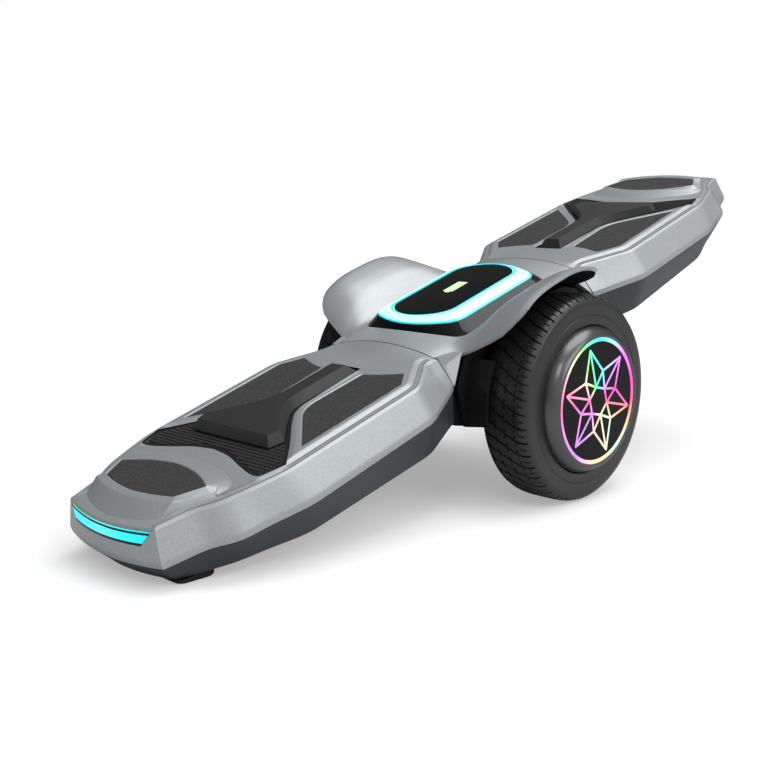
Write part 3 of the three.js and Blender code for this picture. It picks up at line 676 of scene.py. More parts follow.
def deck_top(points):
    """Height of the deck's top surface, without the wells and the boss."""
    points = np.asarray(points, float)
    x, side = points[:, 0], np.abs(points[:, 1])
    rim = depth_inside(points, OPEN_RIM)
    beside = -depth_inside(points, RECESS)
    flank = np.interp(rim, *zip(*FLANK_LANES))
    flank = flank + np.interp(beside, *zip(*STRIP)) * smooth(x, 133, 142) * smooth(rim, 9, 13)
    begun = np.clip((x - 284) / 2, 0, 1)
    nose = np.interp(rim, *zip(*NOSE_START_LANES)) * (1 - begun) + np.interp(rim, *zip(*NOSE_LANES)) * begun
    nose = nose - LIP_DROP * np.clip(1 - beside / LIP_WIDTH, 0, 1) ** 2 * smooth(rim, 8.6, 14)
    ledge = np.interp(rim, [0, 0.25, 0.8, 6], [69.95, 70.3, 70.7, 70.9])
    over_lamp = (1 - smooth(side, 44.5, 49)) * smooth(x, 336, 343)
    nose = nose * (1 - over_lamp) + ledge * over_lamp
    ahead = smooth(x, NOSE_START - 6, NOSE_START + 6)
    z = flank * (1 - ahead) + nose * ahead
    dome_end = np.maximum(DOME_END - DOME_CURVE * side**2, DECK_START + 1)
    dome = np.clip(1 - (x - DECK_START) / (dome_end - DECK_START), 0, 1) ** 1.5
    return z * (1 - dome) + (SEAM_ARCH - SEAM_FALL * side**2) * dome


def well(sheet, outline, drop, floor, height):
    """A recess with a chamfered edge and a steep wall."""
    sheet.contour(inset(outline, -0.6), height(inset(outline, -0.6)))
    sheet.contour(outline, height(outline) - drop)
    sheet.contour(inset(outline, 0.3), floor)


def plane_of(points):
    """Height of the boss's top, which tips up a little towards the nose."""
    return BOSS_Z + (np.asarray(points)[:, 0] - BOSS_START) * BOSS_TILT


def boss_foot():
    return around(rounded(BOSS_FOOT, BOSS_REACH, closed=False))


def boss_rings():
    """Plan rings and heights from the boss's foot up over its edge."""
    foot = boss_foot()
    edge = np.array(BOSS_EDGE)
    flat = around(rounded(edge[:, :2], BOSS_REACH, closed=False))
    spaced = rounded(np.stack([edge[:, 0], edge[:, 2]], axis=1), BOSS_REACH, closed=False)[:, 1]
    heights = np.concatenate([spaced, spaced[::-1][1:-1]])
    ground = deck_top(foot)
    rings = [(foot, ground)]
    for share, sunk in ((0.06, 0), (0.9, 0), (0.97, 0.12)):
        rings.append((foot * (1 - share) + flat * share, ground * (1 - share) + heights * share - sunk))
    rings.append((inset(flat, 0.5), heights - 0.05))
    return rings


def deck_roof(solid):
    """The deck's top: lanes, strips, dome, recess, pad wells and the nose boss."""
    sheet = Sheet(RIM_RING, deck_top)
    foot = boss_foot()
    for distance in sorted({d for d, _ in FLANK_LANES + NOSE_LANES + NOSE_START_LANES} - {0}):
        sheet.traced(inset(RIM_RING, distance), [RECESS, foot, GRIP_PAD, mirrored(GRIP_PAD)])
    for distance in [d for d, _ in STRIP[1:]] + [LIP_WIDTH / 2, LIP_WIDTH]:
        sheet.traced(inset(RECESS, -distance), [foot])
    sheet.contour(RECESS, deck_top(inset(RECESS, -0.05)))
    sheet.contour(inset(RECESS, 0.35), RECESS_Z)
    for outline in (GRIP_PAD, mirrored(GRIP_PAD)):
        well(sheet, outline, 0.3, PAD_Z - 0.7, deck_top)
    for ring, heights in boss_rings():
        sheet.contour(ring, heights)
    well(sheet, TOE, 0.3, plane_of(TOE).mean() - 1.2, plane_of)
    net = net_points(RIM_RING, 2.5, 1.2)
    sheet.scatter(net[net[:, 0] < 122])
    sheet.scatter(net[(net[:, 0] > 335) & (depth_inside(net, foot) < -0.6)])
    # Painted shade: the recess floor and walls get the black finish. Where they show, in the narrow gaps
    # round the pedal and along the mat's edge, the black stands in for the shade in those gaps; elsewhere the
    # mat covers them.
    shade_painted_recess = np.vstack([RECESS[:1], RECESS])
    sheet.into(solid, paint=lambda middles: (depth_inside(middles, shade_painted_recess) > 0.1).astype(int))


def flank_z(share):
    return RIM_Z + (EDGE_Z - RIM_Z) * share


def deck_upper_shell(name):
    solid = Solid()
    deck_roof(solid)
    shares = [0.03, LAMP_TOP, LAMP_FOOT, 0.9]
    rows = [[(*p, z) for p, z in zip(RIM_RING, deck_top(RIM_RING))]]
    rows += [level(flank_ring(share), flank_z(share)) for share in shares]
    below = [
        (0.955, 0.05, 50.9), (0.985, 0.12, 50.2), (1, 0.2, 49.4), (1, 0.35, 47), (1, 0.55, 46),
        (1, 1.0, SPLIT_Z),
    ]
    rows += [level(flank_ring(share, by), z) for share, by, z in below]
    inner = [(1, 3.2, SPLIT_Z), (1, 3.2, 48), (0.5, 3.2, 58), (0, 3.2, 66), (0, 3.8, ROOF_Z)]
    rows += [level(flank_ring(share, by), z) for share, by, z in inner]
    first = len(RIM_HALF) + 1
    last = first + LAMP_COLUMNS - 1
    solid.grid(rows, wrap=True, skip=lambda r, c: r == 2 and first <= c < last)
    solid.cap(rows[-1])
    mouth = [np.array(rows[r][first : last + 1]) for r in (2, 3)]
    back = [row - [4.6, 0, 0] for row in mouth]
    solid.grid([mouth[0], back[0], back[1], mouth[1]], paint=1)
    for end in (0, -1):
        solid.add([mouth[0][end], mouth[1][end], back[1][end], back[0][end]], [(0, 1, 2, 3)], 1)
    materials = [SILVER, BLACK]
    solid.fitted(name, "deck", "deck_upper", "deck_upper_shell", "silver_shell", materials, crease=13)


def deck_lower_shell(name):
    solid = Solid()
    top = SPLIT_Z - 0.35
    outer = [(0, 1.9, top), (0, 1.5, top - 0.5)]
    rows = [level(belly_ring(share, by), z) for share, by, z in outer]
    for share, by, lift in ((0.9, 0.1, 2.2), (0.96, 0.15, 1.0), (1, 0.5, 0.3), (1, 1.6, 0)):
        ring = belly_ring(share, by)
        rows.append([(*p, z + lift) for p, z in zip(ring, belly_z(ring))])
    floor = Sheet(belly_ring(1, 1.6), belly_z)
    floor.scatter(net_points(belly_ring(1, 1.6), 11, 3))
    floor.into(solid)
    inside = belly_ring(1, WALL + 0.6)
    ceiling = Sheet(inside, lambda points: belly_z(points) + WALL)
    ceiling.into(solid)
    inner = [(*p, z + WALL) for p, z in zip(inside, belly_z(inside))]
    solid.grid([inner, level(belly_ring(0, WALL + 1.9), top), *rows], wrap=True)
    made = solid.fitted(name, "deck", "deck_lower", "deck_lower_shell", "slate_shell", [SLATE])
    if name == "front":
        carve_lands(made)


ROD_SIDES = 48


def rod(radius, low, high, centre):
    """A closed rod across the board from one y to another, about a centre in x and z."""
    turn = np.linspace(0, 2 * math.pi, ROD_SIDES, endpoint=False)
    x = centre[0] + radius * np.cos(turn)
    z = centre[1] + radius * np.sin(turn)
    rings = [np.stack([x, np.full(ROD_SIDES, y), z], axis=1) for y in (low, high)]
    solid = Solid()
    solid.grid(rings, wrap=True)
    fan = [(i, (i + 1) % ROD_SIDES, ROD_SIDES) for i in range(ROD_SIDES)]
    for ring in rings:
        solid.add([*ring, ring.mean(0)], fan)
    return solid


def carve(made, steps):
    """Joins solids to a finished piece, or cuts them from it, and keeps the piece's own finish."""
    even = made.modifiers.get("even_shading")
    if even:
        made.modifiers.remove(even)
    for operation, tool in steps:
        helper = tool.piece("helper", "pod", "silver_shell", [], weighted=False)
        modifier = made.modifiers.new("carve", "BOOLEAN")
        modifier.operation = operation
        modifier.solver = "EXACT"
        modifier.object = helper
        bpy.context.view_layer.update()
        graph = bpy.context.evaluated_depsgraph_get()
        mesh = bpy.data.meshes.new_from_object(made.evaluated_get(graph))
        made.modifiers.remove(modifier)
        bpy.data.objects.remove(helper)
        made.data = mesh
    for face in made.data.polygons:
        face.use_smooth = True
    made.data.set_sharp_from_angle(angle=math.radians(32))
    made.modifiers.new("even_shading", "WEIGHTED_NORMAL").keep_sharp = True


LAND_Y = -85.5
LAND_Z = 31
LAND_RADIUS = 13
LAND_DEPTH = 14
SOCKET_X = 170
SOCKET_HOLE = 8.3
BUTTON_X = 210
BUTTON_HOLE = 6.8


def carve_lands(shell):
    """Flat round lands on the right side of the front deck for the charging socket and the button."""
    steps = []
    for x, hole in ((SOCKET_X, SOCKET_HOLE), (BUTTON_X, BUTTON_HOLE)):
        centre = (x, LAND_Z)
        steps += [
            ("DIFFERENCE", rod(LAND_RADIUS, LAND_Y - 20, LAND_Y, centre)),
            ("UNION", rod(LAND_RADIUS, LAND_Y, LAND_Y + LAND_DEPTH, centre)),
            ("DIFFERENCE", rod(hole, LAND_Y - 1, LAND_Y + LAND_DEPTH + 1, centre)),
        ]
    carve(shell, steps)


def grip_pad(name, side_name, side):
    outline = inset(GRIP_PAD if side > 0 else mirrored(GRIP_PAD), 0.4)
    rings = [(0, PAD_Z - 0.6), (0, PAD_Z - 0.2), (0.12, PAD_Z - 0.05), (0.4, PAD_Z)]
    solid = lofted([level(inset(outline, by), z) for by, z in rings])
    solid.fitted(name, "deck", f"{side_name}_grip", f"{side_name}_grip_pad", "grip_tape", [GRIP])


def toe_pad(name):
    outline = inset(TOE, 0.4)
    rings = []
    for by, drop in ((0, 1.0), (0, 0.55), (0.12, 0.4), (0.4, 0.35)):
        ring = inset(outline, by)
        rings.append([(*p, z - drop) for p, z in zip(ring, plane_of(ring))])
    lofted(rings).fitted(name, "deck", "toe", "toe_pad", "grip_tape", [GRIP])


MAT_BORDER = 1.6
MAT_BORDER_Z = MAT_Z + 0.35
MAT_BASE_Z = RECESS_Z + 0.1
STUD_PITCH = (3.3, 2.5)
STUD_SIZE = (2.3, 1.3)
STUD_START = 200  # only the skirt of the mat lies behind this
STUD_CLEARANCE = 0.6


def stud_outlines(outline, hole):
    """Short bars in staggered rows, clear of the mat's border and of the pedal."""
    half = np.array(STUD_SIZE) / 2
    low, high = RECESS.min(0), RECESS.max(0)
    found = []
    for i, x in enumerate(np.arange(high[0], low[0], -STUD_PITCH[0])):
        for y in np.arange(low[1], high[1], STUD_PITCH[1]) + (i % 2) * STUD_PITCH[1] / 2:
            corners = np.array([x, y]) + half * [(-1, -1), (1, -1), (1, 1), (-1, 1)]
            off_border = depth_inside(corners, outline).min() > MAT_BORDER
            off_pedal = depth_inside(corners, hole).max() < -STUD_CLEARANCE
            if off_border and off_pedal and x > STUD_START:
                found.append(corners)
    return found


def stud(solid, corners):
    foot = level(corners, MAT_Z - 0.2)
    crown = level(inset(corners, 0.25), MAT_Z + 0.8)
    solid.grid([foot, level(corners, MAT_Z + 0.5), crown], wrap=True)
    solid.add(crown, [(0, 1, 2, 3)])
    solid.add(foot, [(0, 1, 2, 3)])


def textured_mat(name):
    """The rubber mat: a skirt round the pedal, a raised border and rows of short bars."""
    outline = inset(RECESS, 0.45)
    hole = inset(around(rounded(PEDAL_FOOT, PEDAL_REACH, closed=False)), -0.45)
    solid = Solid()
    top = Sheet(outline, lambda points: np.full(len(points), MAT_Z))
    top.contour(inset(outline, 0.3), MAT_BORDER_Z)
    top.contour(inset(outline, MAT_BORDER - 0.3), MAT_BORDER_Z)
    top.contour(inset(outline, MAT_BORDER), MAT_Z)
    top.contour(hole, MAT_Z)
    top.into(solid, holes=[hole])
    base = Sheet(outline, lambda points: np.full(len(points), MAT_BASE_Z))
    base.contour(hole, MAT_BASE_Z)
    base.into(solid, holes=[hole])
    for ring in (outline, hole):
        solid.grid([level(ring, MAT_BASE_Z), level(ring, MAT_Z)], wrap=True)
    for corners in stud_outlines(outline, hole):
        stud(solid, corners)
    solid.fitted(name, "deck", "mat", "textured_mat", "textured_rubber", [STUDDED], weighted=False)


def foot_pedal(name):
    foot = around(rounded(PEDAL_FOOT, PEDAL_REACH, closed=False))
    crown = around(rounded(PEDAL_CROWN, PEDAL_REACH, closed=False))
    rows = [level(foot, 71.75), level(foot, 72.6)]
    for share, by, z in ((0.05, 0, 72.95), (0.93, 0, 79.45), (1, 0, 79.85), (1, 0.45, 80)):
        ring = foot * (1 - share) + crown * share
        rows.append(level(inset(ring, by) if by else ring, z))
    lofted(rows).fitted(name, "pedal", "pedal", "foot_pedal", "pedal_plastic", [PEDAL], crease=24)


LENS_COLUMNS = 33
# Down the lens: share of the deck's flank, how deep the lens lies, and whether it is dark below.
LENS_BANDS = [
    (0.056, 0.1, 1), (0.068, 0.1, 0), (0.128, 0.5, 1), (0.19, 0.1, 0), (0.45, 0.1, 1), (0.525, 0.1, 1),
]
LENS_DEPTH = 3.8
LAMP_HALF = 50


def lens_row(share, sunk):
    corner = RIM_HALF[-1] * (1 - share) + EDGE_HALF[-1] * share
    bulge = RIM_BULGE + (EDGE_BULGE - RIM_BULGE) * share
    lamp = lamp_share(share) - 0.008
    across = np.linspace(-lamp, lamp, LENS_COLUMNS)
    x = corner[0] + bulge * (1 - across**2) - sunk
    return np.stack([x, corner[1] * across, np.full(LENS_COLUMNS, flank_z(share))], axis=1)


def lamp_lens(name):
    """The nose lamp: a thin upper light line, a dark line and the main lit band in a dark frame."""
    front = [lens_row(share, sunk) for share, sunk, _ in LENS_BANDS]
    back = [row - [LENS_DEPTH, 0, 0] for row in (front[-1], front[0])]
    solid = Solid()
    for r, (_, _, dark) in enumerate(LENS_BANDS[:-1]):
        solid.grid(front[r : r + 2], paint=dark)
    solid.grid([front[-1], back[0], back[1], front[0]], paint=1)
    for end in (0, -1):
        edge = [row[end] for row in front + back]
        solid.add(edge, [tuple(range(len(edge)))], 1)
    made = solid.fitted(name, "deck", "lamp", "lamp_lens", "cyan_light", [LAMP, GLOSS])
    measured(made, FACING[name], lambda p: np.abs(p[:, 1]) / LAMP_HALF)


FOOT_SPAN_X = (319, 349)
FOOT_SPAN_Y = (22, 50)
REST_SLOPE = math.asin(-FORWARD.z)


def floor_at(points):
    """Height of the floor under the resting board."""
    return (np.asarray(points)[:, 0] * math.sin(REST_SLOPE) - TYRE_RADIUS) / math.cos(REST_SLOPE)


def floor_foot(name, side_name, side):
    """A rubber foot that reaches from the belly down to the floor, with a rounded sole."""
    (x0, x1), (y0, y1) = FOOT_SPAN_X, sorted(side * y for y in FOOT_SPAN_Y)
    plan = rounded([(x0, y0), (x1, y0), (x1, y1), (x0, y1)], 8, steps=6)
    rings = []
    for by, lift in ((3.2, 0), (2.0, 0.35), (0.8, 1.4), (0.2, 3.0), (0, 4.6)):
        ring = inset(plan, by)
        ground, roof = floor_at(ring), belly_z(ring) - 0.4
        rings.append([(*p, min(g + lift, r - 0.3)) for p, g, r in zip(ring, ground, roof)])
    rings.append([(*p, z - 0.4) for p, z in zip(plan, belly_z(plan))])
    skin, node = f"{side_name}_foot", f"{side_name}_floor_foot"
    lofted(rings).fitted(name, "deck", skin, node, "black_rubber", [RUBBER])


def deck(name, left, right):
    floor_foot(name, left, 1)
    floor_foot(name, right, -1)
    deck_upper_shell(name)
    deck_lower_shell(name)
    grip_pad(name, left, 1)
    grip_pad(name, right, -1)
    toe_pad(name)
    textured_mat(name)
    foot_pedal(name)
    lamp_lens(name)


# ---------------------------------------------------------------- pod
LIP_Y = 110
FENDER_TOP = 101.3
FENDER_FALL = 19
FENDER_END = 62
FENDER_LOW = 66
ARCH_HALF = 66  # the pod's middle is arched out to here
# How far the pod has gone over from its middle to the fender, by distance from the centre line.
FLANK = [(50, 0), (57, 0.15), (65, 0.44), (75, 0.68), (90, 0.87), (105, 1), (112, 0.97)]
# Half the pod's length, by distance from the centre line.
POD_ENDS = [(0, SEAM), (57.5, SEAM), (66, 75), (90, 66), (98, 62.5), (104, 57), (108, 50.5), (LIP_Y, 44)]
POD_ROWS = [
    0, 8, 16, 24, 32, 38, 44, 48, 51, 54, 57.5, 60, 63, 66, *range(70, 99, 4), 101, 104, 106, 108, LIP_Y,
]
POD_COLUMNS = 40


def eased(at, table):
    """A table read with its corners softened."""
    xs, ys = zip(*table)
    return sum(np.interp(np.asarray(at) + shift, xs, ys) for shift in (-3, -1.5, 0, 1.5, 3)) / 5


def pod_top(points):
    """Height of the pod: arched in the middle, with a fender over each wheel."""
    points = np.asarray(points, float)
    side = np.abs(points[:, 1])
    arched = SEAM_ARCH - SEAM_FALL * np.minimum(side, ARCH_HALF) ** 2
    crest = FENDER_TOP - FENDER_FALL * np.abs(points[:, 0] / FENDER_END) ** 3
    share = eased(side, FLANK)
    return arched * (1 - share) + np.maximum(crest, FENDER_LOW) * share


def pod_scoop(solid, end, side):
    """The thin leaf at the pod's corner, between the seam and the wheel well."""
    leaf = np.array([(SEAM, 57.8, 70.6), (75, 66, 68.5), (SEAM, 69.3, 48.8)]) * [end, side, 1]
    middle = leaf.mean(0) - [-1.5 * end, 4.5 * side, 0]
    back = leaf - [0, 6.0 * side, 0]
    solid.add([*leaf, middle], [(0, 1, 3), (1, 2, 3), (2, 0, 3)])
    solid.grid([leaf, back], wrap=True)
    solid.add(back, [(0, 1, 2)])


def pod_upper_shell():
    solid = Solid()
    across = [-y for y in POD_ROWS[:0:-1]] + POD_ROWS
    share = np.sin(np.linspace(-1, 1, POD_COLUMNS + 1) * math.pi / 2 * 0.97)
    share = share / share[-1]
    top, under = [], []
    for y in across:
        reach = float(np.interp(abs(y), *zip(*POD_ENDS)))
        row = np.stack([share * reach, np.full(len(share), float(y))], axis=1)
        z = pod_top(row)
        top.append(np.column_stack([row, z]))
        drawn_in = row * [(reach - 1.2) / reach, (LIP_Y - 1.5) / LIP_Y]
        under.append(np.column_stack([drawn_in, z - WALL]))
    lip = [np.column_stack([t[:, :2], t[:, 2] - 1.6]) for t in (top[0], top[-1])]
    solid.grid(top)
    # Painted shade: the shell's underside over the wheels gets the black finish, which stands in for the
    # shadow under the fender.
    solid.grid(under, paint=1)
    solid.grid([top[0], lip[0], under[0]])
    solid.grid([top[-1], lip[1], under[-1]])
    for end in (0, -1):
        solid.grid([[row[end] for row in top], [row[end] for row in under]])
    for end in (1, -1):
        for side in (1, -1):
            pod_scoop(solid, end, side)
    made = solid.piece(
        "pod_upper_skin", "pod", "silver_shell", [SILVER, BLACK], replaces=["pod_upper_shell"], crease=40
    )
    window = display_ring(DISPLAY_SKIRT, -0.3)
    carve(made, [("DIFFERENCE", lofted([level(window, 50), level(window, 95)]))])


# ---------------------------------------------------------------- display
DISPLAY_SKIRT = (56, 55, 70.5)  # half the straight length, half width, reach of the rounded ends
DISPLAY_SHOULDER = (50.4, 46.3, 64)
DISPLAY_GLASS = (44, 31.3, 57)
DISPLAY_CORNER = 9
DISPLAY_STEPS = 20
DISPLAY_TOP = 81
GLASS_TOP = 87
RING_FOOT = DISPLAY_TOP + 0.3
RING_RISE = 5.2


def display_ring(form, by=0.0):
    """A display outline: straight sides, bowed ends and rounded corners."""
    half, width, reach = form
    across = np.linspace(-1, 1, DISPLAY_STEPS + 1) * (1 - DISPLAY_CORNER / width)
    front = np.stack([half + (reach - half) * (1 - across**2), width * across], axis=1)
    corner, before = np.array([half, width]), np.array([half - DISPLAY_CORNER, width])
    t = np.linspace(0, 1, 7)[1:, None]
    turn = (1 - t) ** 2 * front[-1] + 2 * t * (1 - t) * corner + t * t * before
    front = np.vstack([turn[::-1] * [1, -1], front, turn])
    ring = np.vstack([front, -front])
    return inset(ring, by) if by else ring


def display_base():
    skirt, shoulder = display_ring(DISPLAY_SKIRT), display_ring(DISPLAY_SHOULDER)
    rings = [level(skirt, 68.6), level(skirt, 72.2), level(display_ring(DISPLAY_SKIRT, 0.35), 72.75)]
    rings += [level(skirt * (1 - k) + shoulder * k, 72.6 + 8.4 * k) for k in (0.5, 0.96)]
    rings.append(level(display_ring(DISPLAY_SHOULDER, 0.25), DISPLAY_TOP))
    rings.append(level(display_ring(DISPLAY_GLASS, -1), DISPLAY_TOP))
    lofted(rings).piece("display_base_skin", "pod", "gloss_black", [GLOSS], replaces=["display_base"])


def ring_share(points):
    """0 at the light ring's outer edge and 1 at its inner one."""
    risen = np.clip((points[:, 2] - RING_FOOT) / RING_RISE, 0, 1)
    return np.arcsin(risen) / (math.pi / 2)


def display_light_ring():
    outer, inner = display_ring(DISPLAY_SHOULDER, 0.3), display_ring(DISPLAY_GLASS, -0.6)
    band = []
    for k in np.linspace(0, 1, 13):
        z = RING_FOOT + RING_RISE * math.sin(k * math.pi / 2) ** 0.9
        band.append(level(outer * (1 - k) + inner * k, z))
    foot = [level(ring, DISPLAY_TOP + 0.1) for ring in (inner, outer)]
    solid = Solid()
    solid.grid([foot[1], *band, foot[0], foot[1]], wrap=True)
    made = solid.piece("display_light_skin", "pod", "cyan_light", [RING], replaces=["display_light_ring"])
    measured(made, BOARD, ring_share)


def display_glass():
    steps = [(0.3, 81.2), (0.3, 86.1), (0.5, 86.4), (1.0, 86.55)]
    rings = [level(display_ring(DISPLAY_GLASS, by), z) for by, z in steps]
    for share, z in ((0.82, 86.8), (0.55, 86.95), (0.3, GLASS_TOP)):
        rings.append(level(display_ring(DISPLAY_GLASS, 1.0) * share, z))
    lofted(rings).piece("display_glass_skin", "pod", "gloss_black", [GLOSS], replaces=["display_glass"])


def bar(solid, x, y, low, high):
    """A closed block of the battery sign, from its spans along x, y and z."""
    ring = [(x[0], y[0]), (x[1], y[0]), (x[1], y[1]), (x[0], y[1])]
    solid.grid([level(ring, low), level(ring, high)], wrap=True)
    solid.add(level(ring, low), [(0, 1, 2, 3)])
    solid.add(level(ring, high), [(0, 1, 2, 3)])


def battery_sign():
    """A plain battery figure with a nub, a hair above the glass."""
    solid = Solid()
    low, high = GLASS_TOP - 0.3, GLASS_TOP + 0.12
    left, right, half, line = -12.5, 8.0, 5.0, 1.2
    for side in (1, -1):
        bar(solid, (left, right), sorted((side * half, side * (half - line))), low, high)
    for x in (left, right - line):
        bar(solid, (x, x + line), (line - half, half - line), low, high)
    bar(solid, (right + 0.1, right + 2.2), (-2.4, 2.4), low, high)
    bar(solid, (left + 1.7, right - 1.7), (1.7 - half, half - 1.7), low, high)
    solid.piece("battery_sign", "pod", "cyan_light", [BATTERY_SIGN], weighted=False)


# ---------------------------------------------------------------- wheels
WHEEL_SIDES = 96
TREAD_PERIODS = 45
TREAD_STEP = 2 * math.pi * TYRE_RADIUS / TREAD_PERIODS
TREAD_WIDTH = TYRE_OUTER_Y - TYRE_INNER_Y
TREAD_LEAN = 17  # how far round the tread a sipe has gone when it reaches the other shoulder
SIPE_DEPTH = 2.0
SLOT_DEPTH = 1.6
MARK_DEPTH = 1.8
# Where the grooves' walls stand within one repeat, along the tread and across it.
SIPE = (0.0, 1.8)
SLOT = (6.1, 7.3)
DASHES = [(2.4, 5.4), (7.9, 10.6)]
TICK = (-2.9, 4.6)
SLOT_ACROSS = (2.4, 7.0)
DASH_ACROSS = (9.5, 10.8)
TICKS_ACROSS = [(18.3, 19.7), (27.2, 28.6), (35.9, 37.3)]
GROOVE_WALL = 0.22
CROWN = [(0, 75.3), (0.7, 78.5), (3.1, 80.8), (6.4, 81.9), (11.9, 82.4), (21.55, 82.5)]  # across, radius


def crown_radius(across):
    return np.interp(np.minimum(across, TREAD_WIDTH - across), *zip(*CROWN))


def in_span(value, span):
    """Whether a place lies in a groove, between the middles of its two walls."""
    return span[0] + GROOVE_WALL / 2 < value < span[1] - GROOVE_WALL / 2


def tread_depth(along, across):
    """How deep the tread is cut at a place within one repeat."""
    side = min(across, TREAD_WIDTH - across)
    along = along % TREAD_STEP
    back = along - TREAD_STEP
    depth = 0.0
    if side > 1.3 and in_span(along, SIPE):
        depth = SIPE_DEPTH
    if in_span(side, SLOT_ACROSS) and in_span(along, SLOT):
        depth = SLOT_DEPTH
    if in_span(across, DASH_ACROSS) and any(in_span(along, dash) for dash in DASHES):
        depth = max(depth, MARK_DEPTH)
    for tick in TICKS_ACROSS:
        if in_span(across, tick) and (in_span(along, TICK) or in_span(back, TICK)):
            depth = max(depth, MARK_DEPTH)
    return depth


def wall_lines(spans):
    """Where the walls of some grooves start and end."""
    lines = set()
    for start, end in spans:
        lines |= {start, start + GROOVE_WALL, end - GROOVE_WALL, end}
    return lines


def tread_rows():
    half = wall_lines([SLOT_ACROSS, DASH_ACROSS]) | {0.0, 0.7, 1.2, 1.45, 3.1, 4.6, 6.4, 8.4, 12.2, 15, 17}
    rows = half | {TREAD_WIDTH - v for v in half} | wall_lines(TICKS_ACROSS) | {21.55}
    return sorted(rows)


def tyre(name):
    start, end = TICK
    lines = wall_lines([SIPE, SLOT, *DASHES])
    lines |= {end - GROOVE_WALL, end, TREAD_STEP + start, TREAD_STEP + start + GROOVE_WALL}
    along = np.array(sorted(lines))
    repeats = [i * TREAD_STEP + a for i in range(TREAD_PERIODS) for a in along]
    base = np.array(repeats) / TYRE_RADIUS
    rows = []
    for across in tread_rows():
        lean = TREAD_LEAN * float(smooth(across, 0, TREAD_WIDTH)) / TYRE_RADIUS
        cut = np.array([tread_depth(a, across) for a in along])
        radius = crown_radius(across) - np.tile(cut, TREAD_PERIODS)
        turn = base + lean
        y = np.full(len(turn), TYRE_OUTER_Y - across)
        rows.append(np.stack([radius * np.cos(turn), y, radius * np.sin(turn)], axis=1))
    for side, face in ((1, TYRE_INNER_Y), (-1, TYRE_OUTER_Y)):
        lean = (TREAD_LEAN if side > 0 else 0) / TYRE_RADIUS
        wall = [(74.2, 0), (67.2, 0), (66.9, 0.35), (66.4, 0.35), (66.1, 0), (59.4, 0), (58.7, 0.6)]
        flat = []
        for radius, sunk in wall:
            y = np.full(len(base), face + side * sunk)
            flat.append(np.stack([radius * np.cos(base + lean), y, radius * np.sin(base + lean)], axis=1))
        rows = rows + flat if side > 0 else flat[::-1] + rows
    solid = Solid()
    solid.grid([*rows, rows[0]], wrap=True)
    solid.fitted(name, "wheel", "tyre", "tyre", "tyre_rubber", [TYRE], crease=35, weighted=False)


def turned(profile):
    """A body turned about the axle from [radius, y] points; a radius of 0 closes it."""
    turn = np.linspace(0, 2 * math.pi, WHEEL_SIDES, endpoint=False)
    rows = []
    for radius, y in profile:
        rows.append(np.stack([radius * np.cos(turn), np.full(WHEEL_SIDES, y), radius * np.sin(turn)], axis=1))
    solid = Solid()
    solid.grid(rows, wrap=True)
    return solid


def hub_dome(name):
    profile = [(0, 121.3), (53, 121.3), (53, TYRE_OUTER_Y), (58.2, TYRE_OUTER_Y), (57.9, 119.5), (57, 122)]
    profile += [(55.6, 124.6), (53.8, 126.7), (52.4, 127.7), (51.7, 128.05), (50.9, 128.1), (50.3, 127.8)]
    profile += [(50, 127.2), (50, 124.4), (0, 124.4)]
    turned(profile).fitted(name, "wheel", "hub", "hub_cover", "hub_metal", [HUB])


def hub_light(name):
    profile = [(47.1, 124.7), (49.8, 124.7), (49.8, 127.0), (49.3, 127.5), (47.6, 127.5), (47.1, 127.0)]
    profile.append(profile[0])
    turned(profile).fitted(name, "wheel", "hub_light", "hub_light_ring", "hub_light", [RAINBOW])


def hub_disc(name):
    profile = [(0, 124.7), (46.8, 124.7), (46.8, 126.8), (46.4, 127.1), (0, 127.1)]
    turned(profile).fitted(name, "wheel", "hub_disc", "hub_disc", "gloss_black", [DISC])


ROSETTE_Y = 127.05
ROSETTE_PROUD = 0.35
ROSETTE_LINE = 1.7
ROSETTE_RADII = (43, 24, 12)


def spoke_point(radius, degrees):
    turn = math.radians(degrees)
    return np.array([radius * math.cos(turn), radius * math.sin(turn)])


def rosette(name):
    """A plain six-fold figure of light lines on the hub's disc."""
    outer, middle, inner = ROSETTE_RADII
    lines = []
    for k in range(6):
        tip = spoke_point(outer, 60 * k + 30)
        waist = [spoke_point(middle, 60 * k), spoke_point(middle, 60 * k + 60)]
        core = [spoke_point(inner, 60 * k + 30), spoke_point(inner, 60 * k + 90)]
        lines += [(tip, waist[0]), (tip, waist[1]), (waist[0], core[0]), (waist[1], core[0])]
        lines += [(core[0], core[1]), (tip, core[0])]
    solid = Solid()
    for start, end in lines:
        along = (end - start) / np.linalg.norm(end - start)
        wide = np.array([-along[1], along[0]]) * ROSETTE_LINE / 2
        a, b = start - along * 0.4, end + along * 0.4
        corners = [a - wide, b - wide, b + wide, a + wide]
        low = [(x, ROSETTE_Y, z) for x, z in corners]
        high = [(x, ROSETTE_Y + ROSETTE_PROUD, z) for x, z in corners]
        solid.grid([low, high], wrap=True)
        solid.add(low, [(0, 1, 2, 3)])
        solid.add(high, [(0, 1, 2, 3)])
    body, where = f"{name}_wheel", FACING[name]
    solid.piece(f"{name}_rosette", body, "hub_light", [RAINBOW], where, weighted=False)


